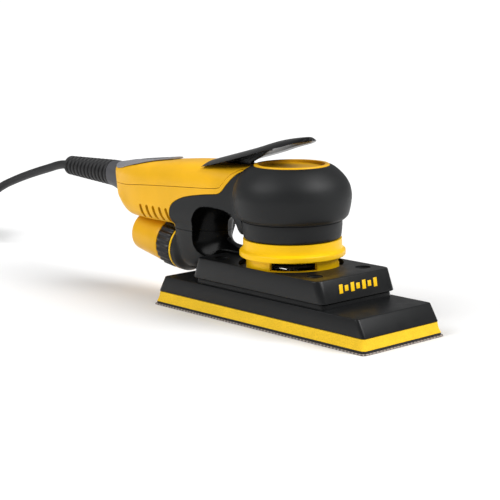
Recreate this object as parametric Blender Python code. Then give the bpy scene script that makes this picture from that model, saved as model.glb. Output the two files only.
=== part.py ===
"""Mains-powered orbital finishing sander with a long rectangular pad.

Frame: origin at the centre of the sanding face, +X towards the front end,
+Z up.  The driving dimensions and every place below are in millimetres, and
new_object() turns them into metres.
"""
import math

import bpy
import bmesh
from mathutils import Vector

MM = 0.001
GAP = 0.3                       # running and assembly gap between neighbours
ROUND = 20                      # facets on a full turn of a large part
ROUND_SMALL = 12                # facets on screws, pins and bosses

# pad stack
PAD_HALF = (99.0, 35.0)         # half length and half width of the foam
SHEET_HALF = (100.0, 36.0)
SHEET_TOP = 1.0
HOOK_TOP = 2.2
FOAM_TOP = 9.1
PLATE_TOP = 20.3
PLINTH_TOP = 23.4
BLOCK_TOP = 37.7
BLOCK_WALL = 2.6
BLOCK_RING_HOLE = (34.0, 31.6)  # radius, and half width between its two flat sides

# drive
SPINDLE_X = 1.5                 # the pad hangs this far off the spindle axis
SHAFT_R = 3.9
PIN_R = 3.7
BEARING_R = 11.0
BEARING_BORE = 4.2
LEG_OFFSET = (44.0, 21.0)
LEG_R = 4.5
ORBIT = 3.0                     # travel of the pad across its orbit

# lever
LEVER_PIVOT = (-57.0, 94.5)
LEVER_PIN_R = 1.5

BUTTONS = (("power_button", -164.0, 4.0), ("minus_button", -148.0, 5.4),
           ("plus_button", -133.0, 5.4))
BUTTON_TRAVEL = 0.4

# dust outlet
OUTLET_AT = (-104.5, 0.0, 35.2)
OUTLET_TILT = math.radians(7.0)

# mains lead
CORD_D = 6.5
CORD_LAY = CORD_D / 2
COIL_CENTRE = (-444.0, -20.0)
COIL_RADII = (48.0, 41.5, 35.0, 28.5)
COIL_LAYERS = 4
PLUG_OFFSET = (1.0, -16.5)      # middle of the plug from the middle of the coil

BLACK = (0.022, 0.023, 0.025)
YELLOW = (0.80, 0.42, 0.035)
RING_YELLOW = (0.90, 0.52, 0.04)
GREY = (0.12, 0.12, 0.14)
STEEL = (0.55, 0.56, 0.58)
ALUMINIUM = (0.70, 0.71, 0.73)
COPPER = (0.72, 0.33, 0.15)


# ---------------------------------------------------------------- helpers

def clear_scene():
    for item in list(bpy.data.objects):
        bpy.data.objects.remove(item, do_unlink=True)


def material(name, colour, roughness, metallic=0.0):
    mat = bpy.data.materials.new(name)
    mat.use_nodes = True
    shader = mat.node_tree.nodes["Principled BSDF"]
    shader.inputs["Base Color"].default_value = (*colour, 1.0)
    shader.inputs["Roughness"].default_value = roughness
    shader.inputs["Metallic"].default_value = metallic
    return mat


def new_object(name, bm):
    """An object in metres from a bmesh built in millimetres."""
    bmesh.ops.recalc_face_normals(bm, faces=bm.faces)
    bmesh.ops.scale(bm, vec=(MM, MM, MM), verts=bm.verts)
    mesh = bpy.data.meshes.new(name)
    bm.to_mesh(mesh)
    bm.free()
    item = bpy.data.objects.new(name, mesh)
    bpy.context.scene.collection.objects.link(item)
    return item


def finish(item, name, colour, roughness, metallic=0.0):
    """Name a finished piece, shade it and give it its own material."""
    item.name = name
    item.data.name = name
    item.data.materials.clear()
    item.data.materials.append(material(name, colour, roughness, metallic))
    item.data.shade_smooth()
    item.data.set_sharp_from_angle(angle=math.radians(32))
    return item


def combine(item, other, operation):
    """Apply a Boolean of two objects to the first and remove the second."""
    modifier = item.modifiers.new(operation, "BOOLEAN")
    modifier.operation = operation
    modifier.solver = "EXACT"
    modifier.object = other
    bpy.context.view_layer.update()
    graph = bpy.context.evaluated_depsgraph_get()
    mesh = bpy.data.meshes.new_from_object(item.evaluated_get(graph))
    item.modifiers.clear()
    old = item.data
    item.data = mesh
    bpy.data.meshes.remove(old)
    bpy.data.objects.remove(other, do_unlink=True)
    return item


def cut(item, *others):
    for other in others:
        combine(item, other, "DIFFERENCE")
    return item


def join(item, *others):
    for other in others:
        combine(item, other, "UNION")
    return item


def keep(item, other):
    return combine(item, other, "INTERSECT")


def revolve(profile, at=(0.0, 0.0, 0.0), tilt=0.0, count=ROUND, along_x=False):
    """Turn a closed (radius, height) outline about the vertical axis at a point.

    along_x lays the axis down towards -X, raised by tilt.
    """
    bm = bmesh.new()
    rows = []
    for radius, height in profile:
        if radius < 1e-6:
            rows.append([bm.verts.new((0.0, 0.0, height))])
            continue
        row = []
        for k in range(count):
            turn = 2 * math.pi * (k + 0.5) / count
            row.append(bm.verts.new((radius * math.cos(turn), radius * math.sin(turn), height)))
        rows.append(row)
    for row, following in zip(rows, rows[1:] + rows[:1]):
        if len(row) == 1 and len(following) == 1:
            continue
        for k in range(count):
            after = (k + 1) % count
            if len(row) == 1:
                bm.faces.new((row[0], following[after], following[k]))
            elif len(following) == 1:
                bm.faces.new((row[k], row[after], following[0]))
            else:
                bm.faces.new((row[k], row[after], following[after], following[k]))
    place = Vector(at)
    for vert in bm.verts:
        if along_x:
            x, y, h = vert.co
            vert.co = (-h * math.cos(tilt) - x * math.sin(tilt), y,
                       h * math.sin(tilt) - x * math.cos(tilt))
        vert.co += place
    return new_object("turned", bm)


def tube_wall(inner, outer, low, high, at=(0.0, 0.0, 0.0), **extra):
    return revolve([(inner, low), (outer, low), (outer, high), (inner, high)], at, **extra)


def disc(radius, low, high, at=(0.0, 0.0, 0.0), **extra):
    return revolve([(0.0, low), (radius, low), (radius, high), (0.0, high)], at, **extra)


def loft(sections):
    """Skin a row of closed sections that have the same number of points."""
    bm = bmesh.new()
    rows = [[bm.verts.new(point) for point in section] for section in sections]
    count = len(rows[0])
    for row, following in zip(rows, rows[1:]):
        for k in range(count):
            after = (k + 1) % count
            bm.faces.new((row[k], row[after], following[after], following[k]))
    bm.faces.new(rows[0])
    bm.faces.new(list(reversed(rows[-1])))
    return new_object("loft", bm)


def prism_y(outline, low, high):
    """Extrude an outline given in X and Z along Y."""
    return loft([[(x, y, z) for x, z in outline] for y in (low, high)])


def box(low, high):
    (x0, y0, z0), (x1, y1, z1) = low, high
    outline = [(x0, y0), (x1, y0), (x1, y1), (x0, y1)]
    return loft([[(x, y, z) for x, y in outline] for z in (z0, z1)])


def rounded_rectangle(half_x, half_y, corner, z, steps=3, centre=(0.0, 0.0)):
    points = []
    corners = [(1, 1, 0), (-1, 1, 90), (-1, -1, 180), (1, -1, 270)]
    for side_x, side_y, start in corners:
        for k in range(steps + 1):
            turn = math.radians(start + 90 * k / steps)
            points.append((centre[0] + side_x * (half_x - corner) + corner * math.cos(turn),
                           centre[1] + side_y * (half_y - corner) + corner * math.sin(turn), z))
    return points


def slab(levels, corner, centre=(0.0, 0.0), steps=3):
    """A rounded block through (half length, half width, height) levels."""
    return loft([rounded_rectangle(hx, hy, corner, z, steps, centre) for hx, hy, z in levels])


def read_line(points, x):
    """Height of a hand-drawn line of (x, value) points, straight between them."""
    if x <= points[0][0]:
        return points[0][1]
    for (x0, v0), (x1, v1) in zip(points, points[1:]):
        if x <= x1:
            return v0 + (v1 - v0) * (x - x0) / (x1 - x0)
    return points[-1][1]


def catmull(points, per_span):
    """A smooth curve through a short list of route points."""
    route = [Vector(p) for p in points]
    ends = [route[0] * 2 - route[1]] + route + [route[-1] * 2 - route[-2]]
    out = []
    for a, b, c, d in zip(ends, ends[1:], ends[2:], ends[3:]):
        for k in range(per_span):
            t = k / per_span
            out.append(0.5 * (2 * b + (c - a) * t + (2 * a - 5 * b + 4 * c - d) * t * t
                              + (3 * b - a - 3 * c + d) * t ** 3))
    out.append(route[-1])
    return out


# ---------------------------------------------------------------- pad stack

def build_pad():
    sheet = slab([(*SHEET_HALF, 0.0), (*SHEET_HALF, SHEET_TOP)], 3.0)
    finish(sheet, "abrasive_sheet", (0.16, 0.12, 0.10), 0.95)

    hook = slab([(*PAD_HALF, SHEET_TOP + GAP), (*PAD_HALF, HOOK_TOP)], 3.0)
    finish(hook, "hook_layer", BLACK, 0.9)

    top_half = (PAD_HALF[0] - 1.6, PAD_HALF[1] - 1.6)
    foam = slab([(*PAD_HALF, HOOK_TOP + GAP), (*top_half, FOAM_TOP)], 3.0)
    finish(foam, "foam_cushion", RING_YELLOW, 0.8)

    plate = slab([(*top_half, FOAM_TOP + GAP), (91.3, 32.8, PLATE_TOP)], 3.0)
    join(plate, slab([(61.2, 30.4, PLATE_TOP - 2), (60.8, 30.2, PLINTH_TOP)], 4.0))
    pocket_floor = 11.4
    for side_x in (-1, 1):
        for side_y in (-1, 1):
            at = (side_x * LEG_OFFSET[0] + SPINDLE_X, side_y * LEG_OFFSET[1], 0)
            cut(plate, disc(LEG_R + ORBIT + 0.6, pocket_floor, PLINTH_TOP + 1, at, count=16))
    cut(plate, disc(BEARING_R + GAP, 13.0, PLINTH_TOP + 1))
    finish(plate, "pad_plate", BLACK, 0.45)

    bearing = tube_wall(PIN_R + GAP, BEARING_R, 13.3, 20.3, count=20)
    finish(bearing, "eccentric_bearing", STEEL, 0.3, 1.0)
    clip = tube_wall(8.6, BEARING_R - 0.1, 20.6, 21.4, count=20)
    finish(clip, "bearing_clip", STEEL, 0.35, 1.0)

    low = PLINTH_TOP + 0.5
    under_top = BLOCK_TOP - BLOCK_WALL
    block = slab([(62.4, 32.5, low), (57.5, 32.4, BLOCK_TOP - 0.4), (57.1, 32.0, BLOCK_TOP)], 5.0)
    inner_low = (62.4 - BLOCK_WALL, 32.5 - BLOCK_WALL)
    inner_top = (57.5 - BLOCK_WALL, 32.4 - BLOCK_WALL)
    cut(block, slab([(*inner_low, low - 1), (*inner_top, under_top)], 3.4))
    hole_r, hole_half = BLOCK_RING_HOLE
    hole = disc(hole_r, under_top - 1, BLOCK_TOP + 1, count=32)
    keep(hole, box((-50, -hole_half, under_top - 2), (50, hole_half, BLOCK_TOP + 2)))
    cut(block, hole)
    for side_x in (-1, 1):
        for side_y in (-1, 1):
            at = (side_x * LEG_OFFSET[0], side_y * LEG_OFFSET[1], 0)
            cut(block, disc(4.0, under_top - 1, BLOCK_TOP + 1, at, count=ROUND_SMALL))
    finish(block, "pad_block", BLACK, 0.35)


# ---------------------------------------------------------------- drive

def build_rotor():
    at = (SPINDLE_X, 0, 0)
    shaft = disc(SHAFT_R, 25.0, 92.0, at, count=16)
    join(shaft, disc(8.0, 24.2, 27.0, at, count=20))
    join(shaft, disc(PIN_R, 13.6, 25.0, count=16))
    finish(shaft, "motor_shaft", STEEL, 0.3, 1.0)

    weight = tube_wall(BEARING_BORE, 9.0, 27.3, 30.4, at, count=20)
    lobe = tube_wall(8.0, 17.5, 27.3, 30.4, at, count=20)
    keep(lobe, box((SPINDLE_X + 2, -20, 26), (SPINDLE_X + 20, 20, 32)))
    join(weight, lobe)
    finish(weight, "counterweight", STEEL, 0.4, 1.0)

    fan = revolve([(BEARING_BORE, 38.9), (25.0, 38.9), (25.0, 40.1), (8.0, 40.1), (8.0, 45.4),
                   (BEARING_BORE, 45.4)], at)
    blade_count = 7
    for k in range(blade_count):
        turn = 2 * math.pi * k / blade_count
        lean = turn + math.radians(28)
        inner = Vector((SPINDLE_X + 7.2 * math.cos(turn), 7.2 * math.sin(turn)))
        outer = Vector((SPINDLE_X + 24.0 * math.cos(lean), 24.0 * math.sin(lean)))
        side = Vector((inner.y - outer.y, outer.x - inner.x)).normalized() * 0.6
        outline = [inner + side, outer + side, outer - side, inner - side]
        join(fan, loft([[(p.x, p.y, z) for p in outline] for z in (39.4, 45.0)]))
    finish(fan, "dust_fan", GREY, 0.5)

    core = tube_wall(BEARING_BORE, 12.4, 60.0, 80.0, at)
    finish(core, "rotor_core", STEEL, 0.45, 1.0)
    magnets = tube_wall(12.7, 14.4, 60.0, 80.0, at)
    finish(magnets, "magnet_ring", (0.2, 0.2, 0.22), 0.5, 0.6)


def build_motor():
    at = (SPINDLE_X, 0, 0)
    for name, low in (("lower_bearing", 48.3), ("upper_bearing", 85.0)):
        ring = tube_wall(BEARING_BORE, BEARING_R, low, low + 7.0, at, count=20)
        finish(ring, name, STEEL, 0.3, 1.0)

    stator = tube_wall(15.2, 24.0, 60.0, 80.0, at)
    finish(stator, "stator_core", STEEL, 0.5, 0.9)
    for name, low in (("lower_winding", 57.0), ("upper_winding", 80.3)):
        ring = revolve([(16.0, low), (22.6, low), (22.6, low + 1.6), (21.0, low + 2.7),
                        (17.6, low + 2.7), (16.0, low + 1.6)], at)
        finish(ring, name, COPPER, 0.45, 0.7)

    seat = BEARING_R + GAP
    can = revolve([(8.0, 47.0), (13.6, 47.0), (13.6, 53.6), (27.4, 53.6), (27.4, 83.6),
                   (24.3, 83.6), (24.3, 56.2), (seat, 56.2), (seat, 48.0), (8.0, 48.0)], at)
    finish(can, "motor_housing", ALUMINIUM, 0.45, 0.9)
    shield = revolve([(27.4, 83.9), (27.4, 86.6), (14.2, 93.4), (8.0, 93.4), (8.0, 92.3),
                      (seat, 92.3), (seat, 84.6), (16.0, 84.6), (16.0, 83.9)], at)
    finish(shield, "end_shield", ALUMINIUM, 0.45, 0.9)


def build_base():
    """The yellow ring under the head, the plate inside the block and its four flexible legs."""
    at = (SPINDLE_X, 0, 0)
    profile = [(27.2, 34.9), (29.9, 34.9), (29.9, 43.2), (33.2, 43.6), (34.1, 44.5), (34.1, 46.4),
               (33.2, 47.6), (32.1, 48.6), (31.8, 49.8), (31.8, 54.3), (28.0, 54.3), (27.2, 53.0)]
    ring = revolve(profile, at, count=28)
    window_low, window_top = 37.6, 42.6
    for middle in (-42.0, 64.0, 180.0):
        half = 30.0 if middle != 180.0 else 17.0
        outline = []
        for radius, sign in ((24.0, 1), (36.0, -1)):
            for k in range(5):
                turn = math.radians(middle - sign * half + sign * half * k / 2)
                outline.append((SPINDLE_X + radius * math.cos(turn), radius * math.sin(turn)))
        cut(ring, loft([[(x, y, z) for x, y in outline] for z in (window_low, window_top)]))
    finish(ring, "base_ring", RING_YELLOW, 0.4)

    plate_low, plate_top = 31.0, 34.6
    plate = slab([(52.0, 27.0, plate_low), (52.0, 27.0, plate_top)], 4.0, centre=(SPINDLE_X, 0))
    cut(plate, disc(19.5, plate_low - 1, plate_top + 1, at))
    screw_seat = 32.6
    leg_low = 11.7
    number = 0
    for side_x in (-1, 1):
        for side_y in (-1, 1):
            number += 1
            place = (side_x * LEG_OFFSET[0] + SPINDLE_X, side_y * LEG_OFFSET[1], 0)
            cut(plate, revolve([(0, plate_low - 1), (2.3, plate_low - 1), (2.3, screw_seat),
                                (4.3, screw_seat), (4.3, plate_top + 1), (0, plate_top + 1)],
                               place, count=ROUND_SMALL))
            leg = revolve([(0, leg_low), (LEG_R, leg_low), (LEG_R, leg_low + 2), (3.6, 16.0),
                           (3.6, 25.0), (LEG_R, 28.0), (LEG_R, plate_low - GAP),
                           (2.3, plate_low - GAP), (2.3, 21.0), (0, 21.0)],
                          place, count=ROUND_SMALL)
            finish(leg, f"flex_leg_{number}", (0.05, 0.05, 0.055), 0.7)
            screw = revolve([(0, 22.0), (1.9, 22.0), (1.9, screw_seat + GAP),
                             (3.8, screw_seat + GAP), (3.8, 34.3), (1.6, 34.3), (1.6, 33.4),
                             (0, 33.4)], place, count=ROUND_SMALL)
            finish(screw, f"leg_screw_{number}", STEEL, 0.35, 1.0)
    finish(plate, "base_plate", ALUMINIUM, 0.5, 0.9)


# ---------------------------------------------------------------- housing

HEAD_OUTER = [(31.3, 54.6), (31.8, 60.0), (32.2, 67.0), (34.4, 67.8), (35.8, 69.4), (37.2, 74.0),
              (38.0, 79.0), (38.1, 83.0), (36.8, 88.8), (34.3, 93.4), (30.4, 97.6), (26.8, 100.3),
              (24.6, 101.0)]
HEAD_CAVITY = [(0.0, 50.0), (28.0, 50.0), (28.0, 88.0), (26.4, 92.0), (22.4, 96.6), (22.4, 103.0),
               (0.0, 103.0)]
CAP_R = 24.2

CROWN = [(-182, 86.6), (-170, 88.4), (-156, 90.4), (-140, 92.2), (-121, 94.4), (-90, 97.2),
         (-66, 98.0), (-36, 98.2), (-20, 100.2)]
KEEL = [(-182, 70.0), (-166, 62.5), (-156, 57.0), (-148, 54.2), (-140, 53.6), (-97, 53.0),
        (-60, 53.0)]
BEAM = [(-182, 10.0), (-171, 12.6), (-160, 17.0), (-150, 20.0), (-140, 22.0), (-124, 23.0),
        (-60, 23.0), (-40, 22.0), (-20, 20.5)]
SHOULDER = [(-150, 0.42), (-110, 0.52)]     # roundness of the upper half along the body
BILGE = 0.38                                # roundness of its lower half
BODY_STATIONS = (-182, -170, -166, -156, -148, -140, -124, -97, -60, -40, -20)
WALL = 2.4

SEAM = [(-190, 75.0), (-152, 76.2), (-126, 78.4), (-90, 80.7), (-47.5, 83.6), (-44.0, 85.8),
        (-37.8, 92.0), (-31.0, 96.2), (-27.0, 97.2), (-25.0, 96.6), (-6.0, 96.6)]
REAR_SLANT = [(-210.0, 50.0), (-161.5, 50.0), (-175.2, 100.0), (-210.0, 100.0)]
GRIP_EDGE = [(-96.4, 52.0), (-97.0, 60.8), (-94.1, 67.7), (-86.1, 72.3), (-75.8, 75.3),
             (-59.1, 78.1), (-45.2, 79.5), (-42.0, 81.4), (-38.0, 86.4), (-31.4, 93.1),
             (-26.4, 96.0), (-23.6, 98.1), (-5.0, 98.1)]


def body_top(x, y):
    """Height of the upper skin of the body at a place on it."""
    top, low, half = (read_line(each, x) for each in (CROWN, KEEL, BEAM))
    power = read_line(SHOULDER, x)
    fall = (1 - min(1.0, abs(y) / half) ** (2 / power)) ** (power / 2)
    return (top + low) / 2 + (top - low) / 2 * fall


def body_section(x, inset=0.0):
    """A rounded-square section of the body: flat sides, soft shoulders, crowned top."""
    top = read_line(CROWN, x) - inset
    low = read_line(KEEL, x) + inset
    half = read_line(BEAM, x) - inset
    middle, rise = (top + low) / 2, (top - low) / 2
    points = []
    for k in range(16):
        turn = 2 * math.pi * (k + 0.5) / 16
        c, s = math.cos(turn), math.sin(turn)
        power = read_line(SHOULDER, x) if s > 0 else BILGE
        points.append((x, half * math.copysign(abs(c) ** power, c),
                       middle + rise * math.copysign(abs(s) ** power, s)))
    return points


def body_blank(inset=0.0):
    stations = BODY_STATIONS[:-1] + (BODY_STATIONS[-1] - inset,)
    return loft([body_section(x, inset) for x in stations])


def above_line(line, shift=0.0, top=140.0):
    """Everything above a side-view line, as a wide block for a Boolean."""
    outline = [(x, z + shift) for x, z in line]
    return prism_y(outline + [(line[-1][0], top), (line[0][0], top)], -60.0, 60.0)


def grip_side(clearance=0.0, low=40.0):
    """The space in front of and below the line where the yellow shells meet the black grip."""
    outline = [(x - clearance, z + clearance) for x, z in GRIP_EDGE]
    return prism_y(outline + [(-5.0, low), (outline[0][0], low)], -60.0, 60.0)


def opening_cutter():
    """The finger opening: a D through the grip that flares to both sides."""
    sections = []
    for y, grow in ((-24, 1.04), (-18, 1.0), (-14, 0.88), (-8, 0.35), (0, 0.0), (8, 0.35),
                    (14, 0.88), (18, 1.0), (24, 1.04)):
        rear = -62.0 - 17.0 * grow
        front = -29.0 + 2.0 * grow
        low = 43.6 - 11.0 * grow
        top = 62.0 + 8.0 * grow
        middle_x, middle_z = (rear + front) / 2, (low + top) / 2
        half_x, half_z = (front - rear) / 2, (top - low) / 2
        points = []
        for k in range(16):
            turn = 2 * math.pi * (k + 0.5) / 16
            c, s = math.cos(turn), math.sin(turn)
            points.append((middle_x + half_x * math.copysign(abs(c) ** 0.62, c), y,
                           middle_z + half_z * math.copysign(abs(s) ** 0.62, s)))
        sections.append(points)
    return loft(sections)


def outlet_seat():
    """The space behind the tilted face that the outlet flange is screwed to."""
    return revolve([(0, -GAP), (26.0, -GAP), (26.0, 60.0), (0, 60.0)], OUTLET_AT, OUTLET_TILT,
                   16, True)


def column_blank():
    """The upright rear part of the grip, which turns forward below as the dust duct."""
    levels = ((24.0, -97, -70, 9.5), (28.0, -101, -66, 13.6), (36.0, -102.6, -62, 16.4),
              (44.0, -102.6, -61, 18.0), (51.0, -102.6, -60, 19.4), (62.0, -98.0, -50, 21.6),
              (75.0, -90.0, -30, 22.0))
    sections = []
    for z, rear, front, half in levels:
        middle, length = (rear + front) / 2, (front - rear) / 2
        points = []
        for k in range(16):
            turn = 2 * math.pi * (k + 0.5) / 16
            c, s = math.cos(turn), math.sin(turn)
            points.append((middle + length * math.copysign(abs(c) ** 0.52, c),
                           half * math.copysign(abs(s) ** 0.52, s), z))
        sections.append(points)
    return loft(sections)


def build_grip():
    """The black soft-grip moulding: head, neck and upper rear column."""
    split = 51.2
    head_axis = (SPINDLE_X, 0, 0)
    blank = body_blank()
    keep(blank, grip_side(0.0, split))
    column = column_blank()
    inside_edge = [(x + 0.2, z - 0.2) for x, z in GRIP_EDGE[1:]]
    keep(column, prism_y([(-110.0, split), (-110.0, 52.4), (-96.4, 52.4)] + inside_edge
                         + [(-5.0, split)], -60.0, 60.0))
    join(blank, column)
    head = revolve(HEAD_OUTER + [(0.0, 101.0), (0.0, 54.6)], head_axis, count=28)
    join(head, blank)
    slot = body_blank(-GAP)
    keep(slot, above_line([(-110.0, 52.0)] + GRIP_EDGE))
    cut(head, slot, opening_cutter(), outlet_seat())
    cut(head, disc(34.8, 40.0, 54.6, head_axis, count=28))
    cut(head, revolve(HEAD_CAVITY, head_axis, count=20))
    cut(head, revolve([(0, 98.0), (CAP_R + GAP, 98.0), (CAP_R + GAP, 104.0), (0, 104.0)],
                      head_axis, count=28))
    inside = body_blank(WALL)
    keep(inside, prism_y([(-94.0, 66.0), (-50.0, 73.0), (-30.0, 75.0), (-20.0, 80.0),
                          (-20.0, 110.0), (-100.0, 110.0)], -60.0, 60.0))
    cut(head, inside)
    return finish(head, "head_grip", BLACK, 0.6)


def build_duct():
    """The lower rear column and the flat duct that runs forward to the ring."""
    split = 50.9
    column = column_blank()
    keep(column, box((-120, -40, 20), (-56, 40, split)))
    tongue = loft([[(x, -half, low), (x, half, low), (x, half * 0.9, top), (x, -half * 0.9, top)]
                   for x, half, low, top in ((-66, 12.0, 32.0, 50.0), (-60, 9.0, 39.6, 46.0),
                                             (-52, 7.6, 39.6, 44.0), (-44, 7.6, 39.6, 43.6),
                                             (-28.8, 8.0, 39.6, 43.6))])
    join(column, tongue)
    cut(column, prism_y([(-67.0, 20.0), (-61.4, 39.4), (-20.0, 39.4), (-20.0, 20.0)], -50, 50))
    mouth = revolve([(0, -12.0), (12.8, -12.0), (16.5, -4.5), (16.5, 1.0), (0, 1.0)], OUTLET_AT,
                    OUTLET_TILT, ROUND, True)
    keep(mouth, box((-120, -40, 10), (-80, 40, split)))
    join(column, mouth)
    cut(column, opening_cutter(), outlet_seat())
    cut(column, revolve([(0, -7.0), (10.0, -7.0), (12.6, -4.5), (12.6, 2.0), (0, 2.0)],
                        OUTLET_AT, OUTLET_TILT, ROUND, True))
    cut(column, revolve([(0, 0.0), (10.0, 0.0), (10.0, 16.0), (0, 16.0)], (-84.0, 0, 36.4),
                        0.0, ROUND, True))
    cut(column, box((-95.0, -6.0, 40.6), (-20.0, 6.0, 42.6)))
    cut(column, revolve([(0, 36.0), (30.4, 36.0), (30.4, 42.8), (34.6, 43.2), (34.6, 56.0),
                         (0, 56.0)], (SPINDLE_X, 0, 0), count=28))
    return finish(column, "dust_duct", BLACK, 0.6)


def build_shells():
    """Yellow lower shell and top cover; the cover runs forward into the cap over the head."""
    lower = body_blank()
    cut(lower, above_line(SEAM, -GAP / 2))
    cut(lower, grip_side(GAP), body_blank(WALL), prism_y(REAR_SLANT, -60.0, 60.0))
    hose_groove = revolve([(0, -2.0), (17.4, -2.0), (17.4, 20.6), (15.4, 52.0), (0, 52.0)],
                          OUTLET_AT, OUTLET_TILT, 28, True)
    cut(lower, hose_groove)
    for k in range(5):
        x = -128.3 + 7.1 * k
        cut(lower, prism_y([(x - 1.8, 64.2), (x + 0.6, 64.2), (x + 3.6, 56.2), (x + 1.2, 56.2)],
                           -40.0, 40.0))
    finish(lower, "body_lower_shell", YELLOW, 0.38)

    cover = body_blank()
    keep(cover, above_line(SEAM, GAP / 2))
    cut(cover, grip_side(GAP), body_blank(WALL), prism_y(REAR_SLANT, -60.0, 60.0))
    cap = revolve([(0, 98.3), (CAP_R, 98.3), (CAP_R, 101.0), (CAP_R - 1.2, 102.0),
                   (CAP_R - 2.8, 102.0), (CAP_R - 3.4, 101.1), (0, 100.8)],
                  (SPINDLE_X, 0, 0), count=28)
    join(cover, cap)
    cut(cover, box((-64.0, -2.4, 80.0), (-32.0, 2.4, 110.0)))
    cut(cover, box((-61.4, -7.8, 85.0), (-52.6, 7.8, 97.0)))
    for side in (-1, 1):
        boss = box((-60.5, min(side * 8, side * 12), 91.0), (-53.5, max(side * 8, side * 12), 97.0))
        join(cover, boss)
    hole = disc(LEVER_PIN_R + GAP, -10.6, 10.6, count=ROUND_SMALL)
    stand_on_y(hole, LEVER_PIVOT)
    cut(cover, hole)
    for _, x, half in BUTTONS:
        cut(cover, disc(half - 1.5, 70.0, 110.0, (x, 0, 0), count=16))
    cut(cover, disc(1.3, 70.0, 110.0, (-120.0, 0, 0), count=ROUND_SMALL))
    finish(cover, "body_top_cover", YELLOW, 0.38)


def stand_on_y(item, pivot):
    """Lay a piece turned about Z so that its axis runs along Y through a side-view point."""
    for vert in item.data.vertices:
        x, y, z = vert.co
        vert.co = (x + pivot[0] * MM, z, -y + pivot[1] * MM)


def build_keypad():
    """Curved panel on the rear of the cover with three buttons and a status light."""
    def surface(x, lift):
        return read_line(CROWN, x) + lift

    plan = ((-171.0, 11.2), (-170.0, 11.8), (-164.0, 14.4), (-156.0, 16.8), (-148.0, 17.4),
            (-140.0, 17.0), (-134.0, 15.4), (-128.0, 12.6), (-121.0, 8.8), (-114.0, 4.6))
    across = (-1.0, -0.88, -0.7, -0.4, 0.0, 0.4, 0.7, 0.88, 1.0)
    sections = []
    for x, half in plan:
        low = [(x, half * side, body_top(x, half * side) + 0.45) for side in across]
        top = [(x, half * 0.95 * side, body_top(x, half * side) + 1.5) for side in across]
        sections.append(low + list(reversed(top)))
    panel = loft(sections)
    for _, x, half in BUTTONS:
        cut(panel, disc(half + GAP, 60.0, 120.0, (x, 0, 0), count=16))
    cut(panel, disc(1.6, 60.0, 120.0, (-120.0, 0, 0), count=ROUND_SMALL))
    finish(panel, "keypad_panel", GREY, 0.45)
    for name, x, half in BUTTONS:
        foot = surface(x, BUTTON_TRAVEL + GAP)
        top = foot + 0.9
        slope = (surface(x + half, 0.0) - surface(x - half, 0.0)) / (2 * half)
        button = revolve([(0, foot), (half, foot), (half, top - 0.4), (half - 0.5, top), (0, top)],
                         (x, 0, 0), count=16)
        for vert in button.data.vertices:
            vert.co.z += slope * (vert.co.x - x * MM)
        join(button, disc(half - 1.9, foot - 6.0, foot + 0.4, (x, 0, 0), count=ROUND_SMALL))
        finish(button, name, (0.05, 0.05, 0.055), 0.5)
    light = disc(1.0, surface(-120.0, -3.6), surface(-120.0, 1.6), (-120.0, 0, 0),
                 count=ROUND_SMALL)
    finish(light, "status_light", (0.1, 0.7, 0.2), 0.3)


def build_outlet():
    """Flange, knurled collar and hose spout in line behind the duct."""
    flange = revolve([(13.0, 0.0), (17.0, 0.0), (17.0, 1.6), (13.0, 1.6)], OUTLET_AT,
                     OUTLET_TILT, ROUND, True)
    finish(flange, "outlet_flange", RING_YELLOW, 0.4)

    ribs = 24
    low, high = 1.9, 16.4
    sections = []
    for h in (low, high):
        ring = []
        for k in range(ribs * 2):
            turn = math.pi * k / ribs
            radius = 17.2 if k % 2 else 16.4
            x, y = radius * math.cos(turn), radius * math.sin(turn)
            ring.append((OUTLET_AT[0] - h * math.cos(OUTLET_TILT) - x * math.sin(OUTLET_TILT), y,
                         OUTLET_AT[2] + h * math.sin(OUTLET_TILT) - x * math.cos(OUTLET_TILT)))
        sections.append(ring)
    collar = loft(sections)
    cut(collar, revolve([(0, 1.0), (14.6, 1.0), (14.6, 18.0), (0, 18.0)], OUTLET_AT,
                        OUTLET_TILT, ROUND, True))
    finish(collar, "knurled_collar", BLACK, 0.5)

    spout = revolve([(12.4, 3.2), (14.3, 3.2), (14.3, 16.7), (16.2, 16.7), (16.2, 20.0),
                     (14.4, 47.0), (12.4, 47.0)], OUTLET_AT, OUTLET_TILT, ROUND, True)
    finish(spout, "outlet_spout", YELLOW, 0.38)


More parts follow.
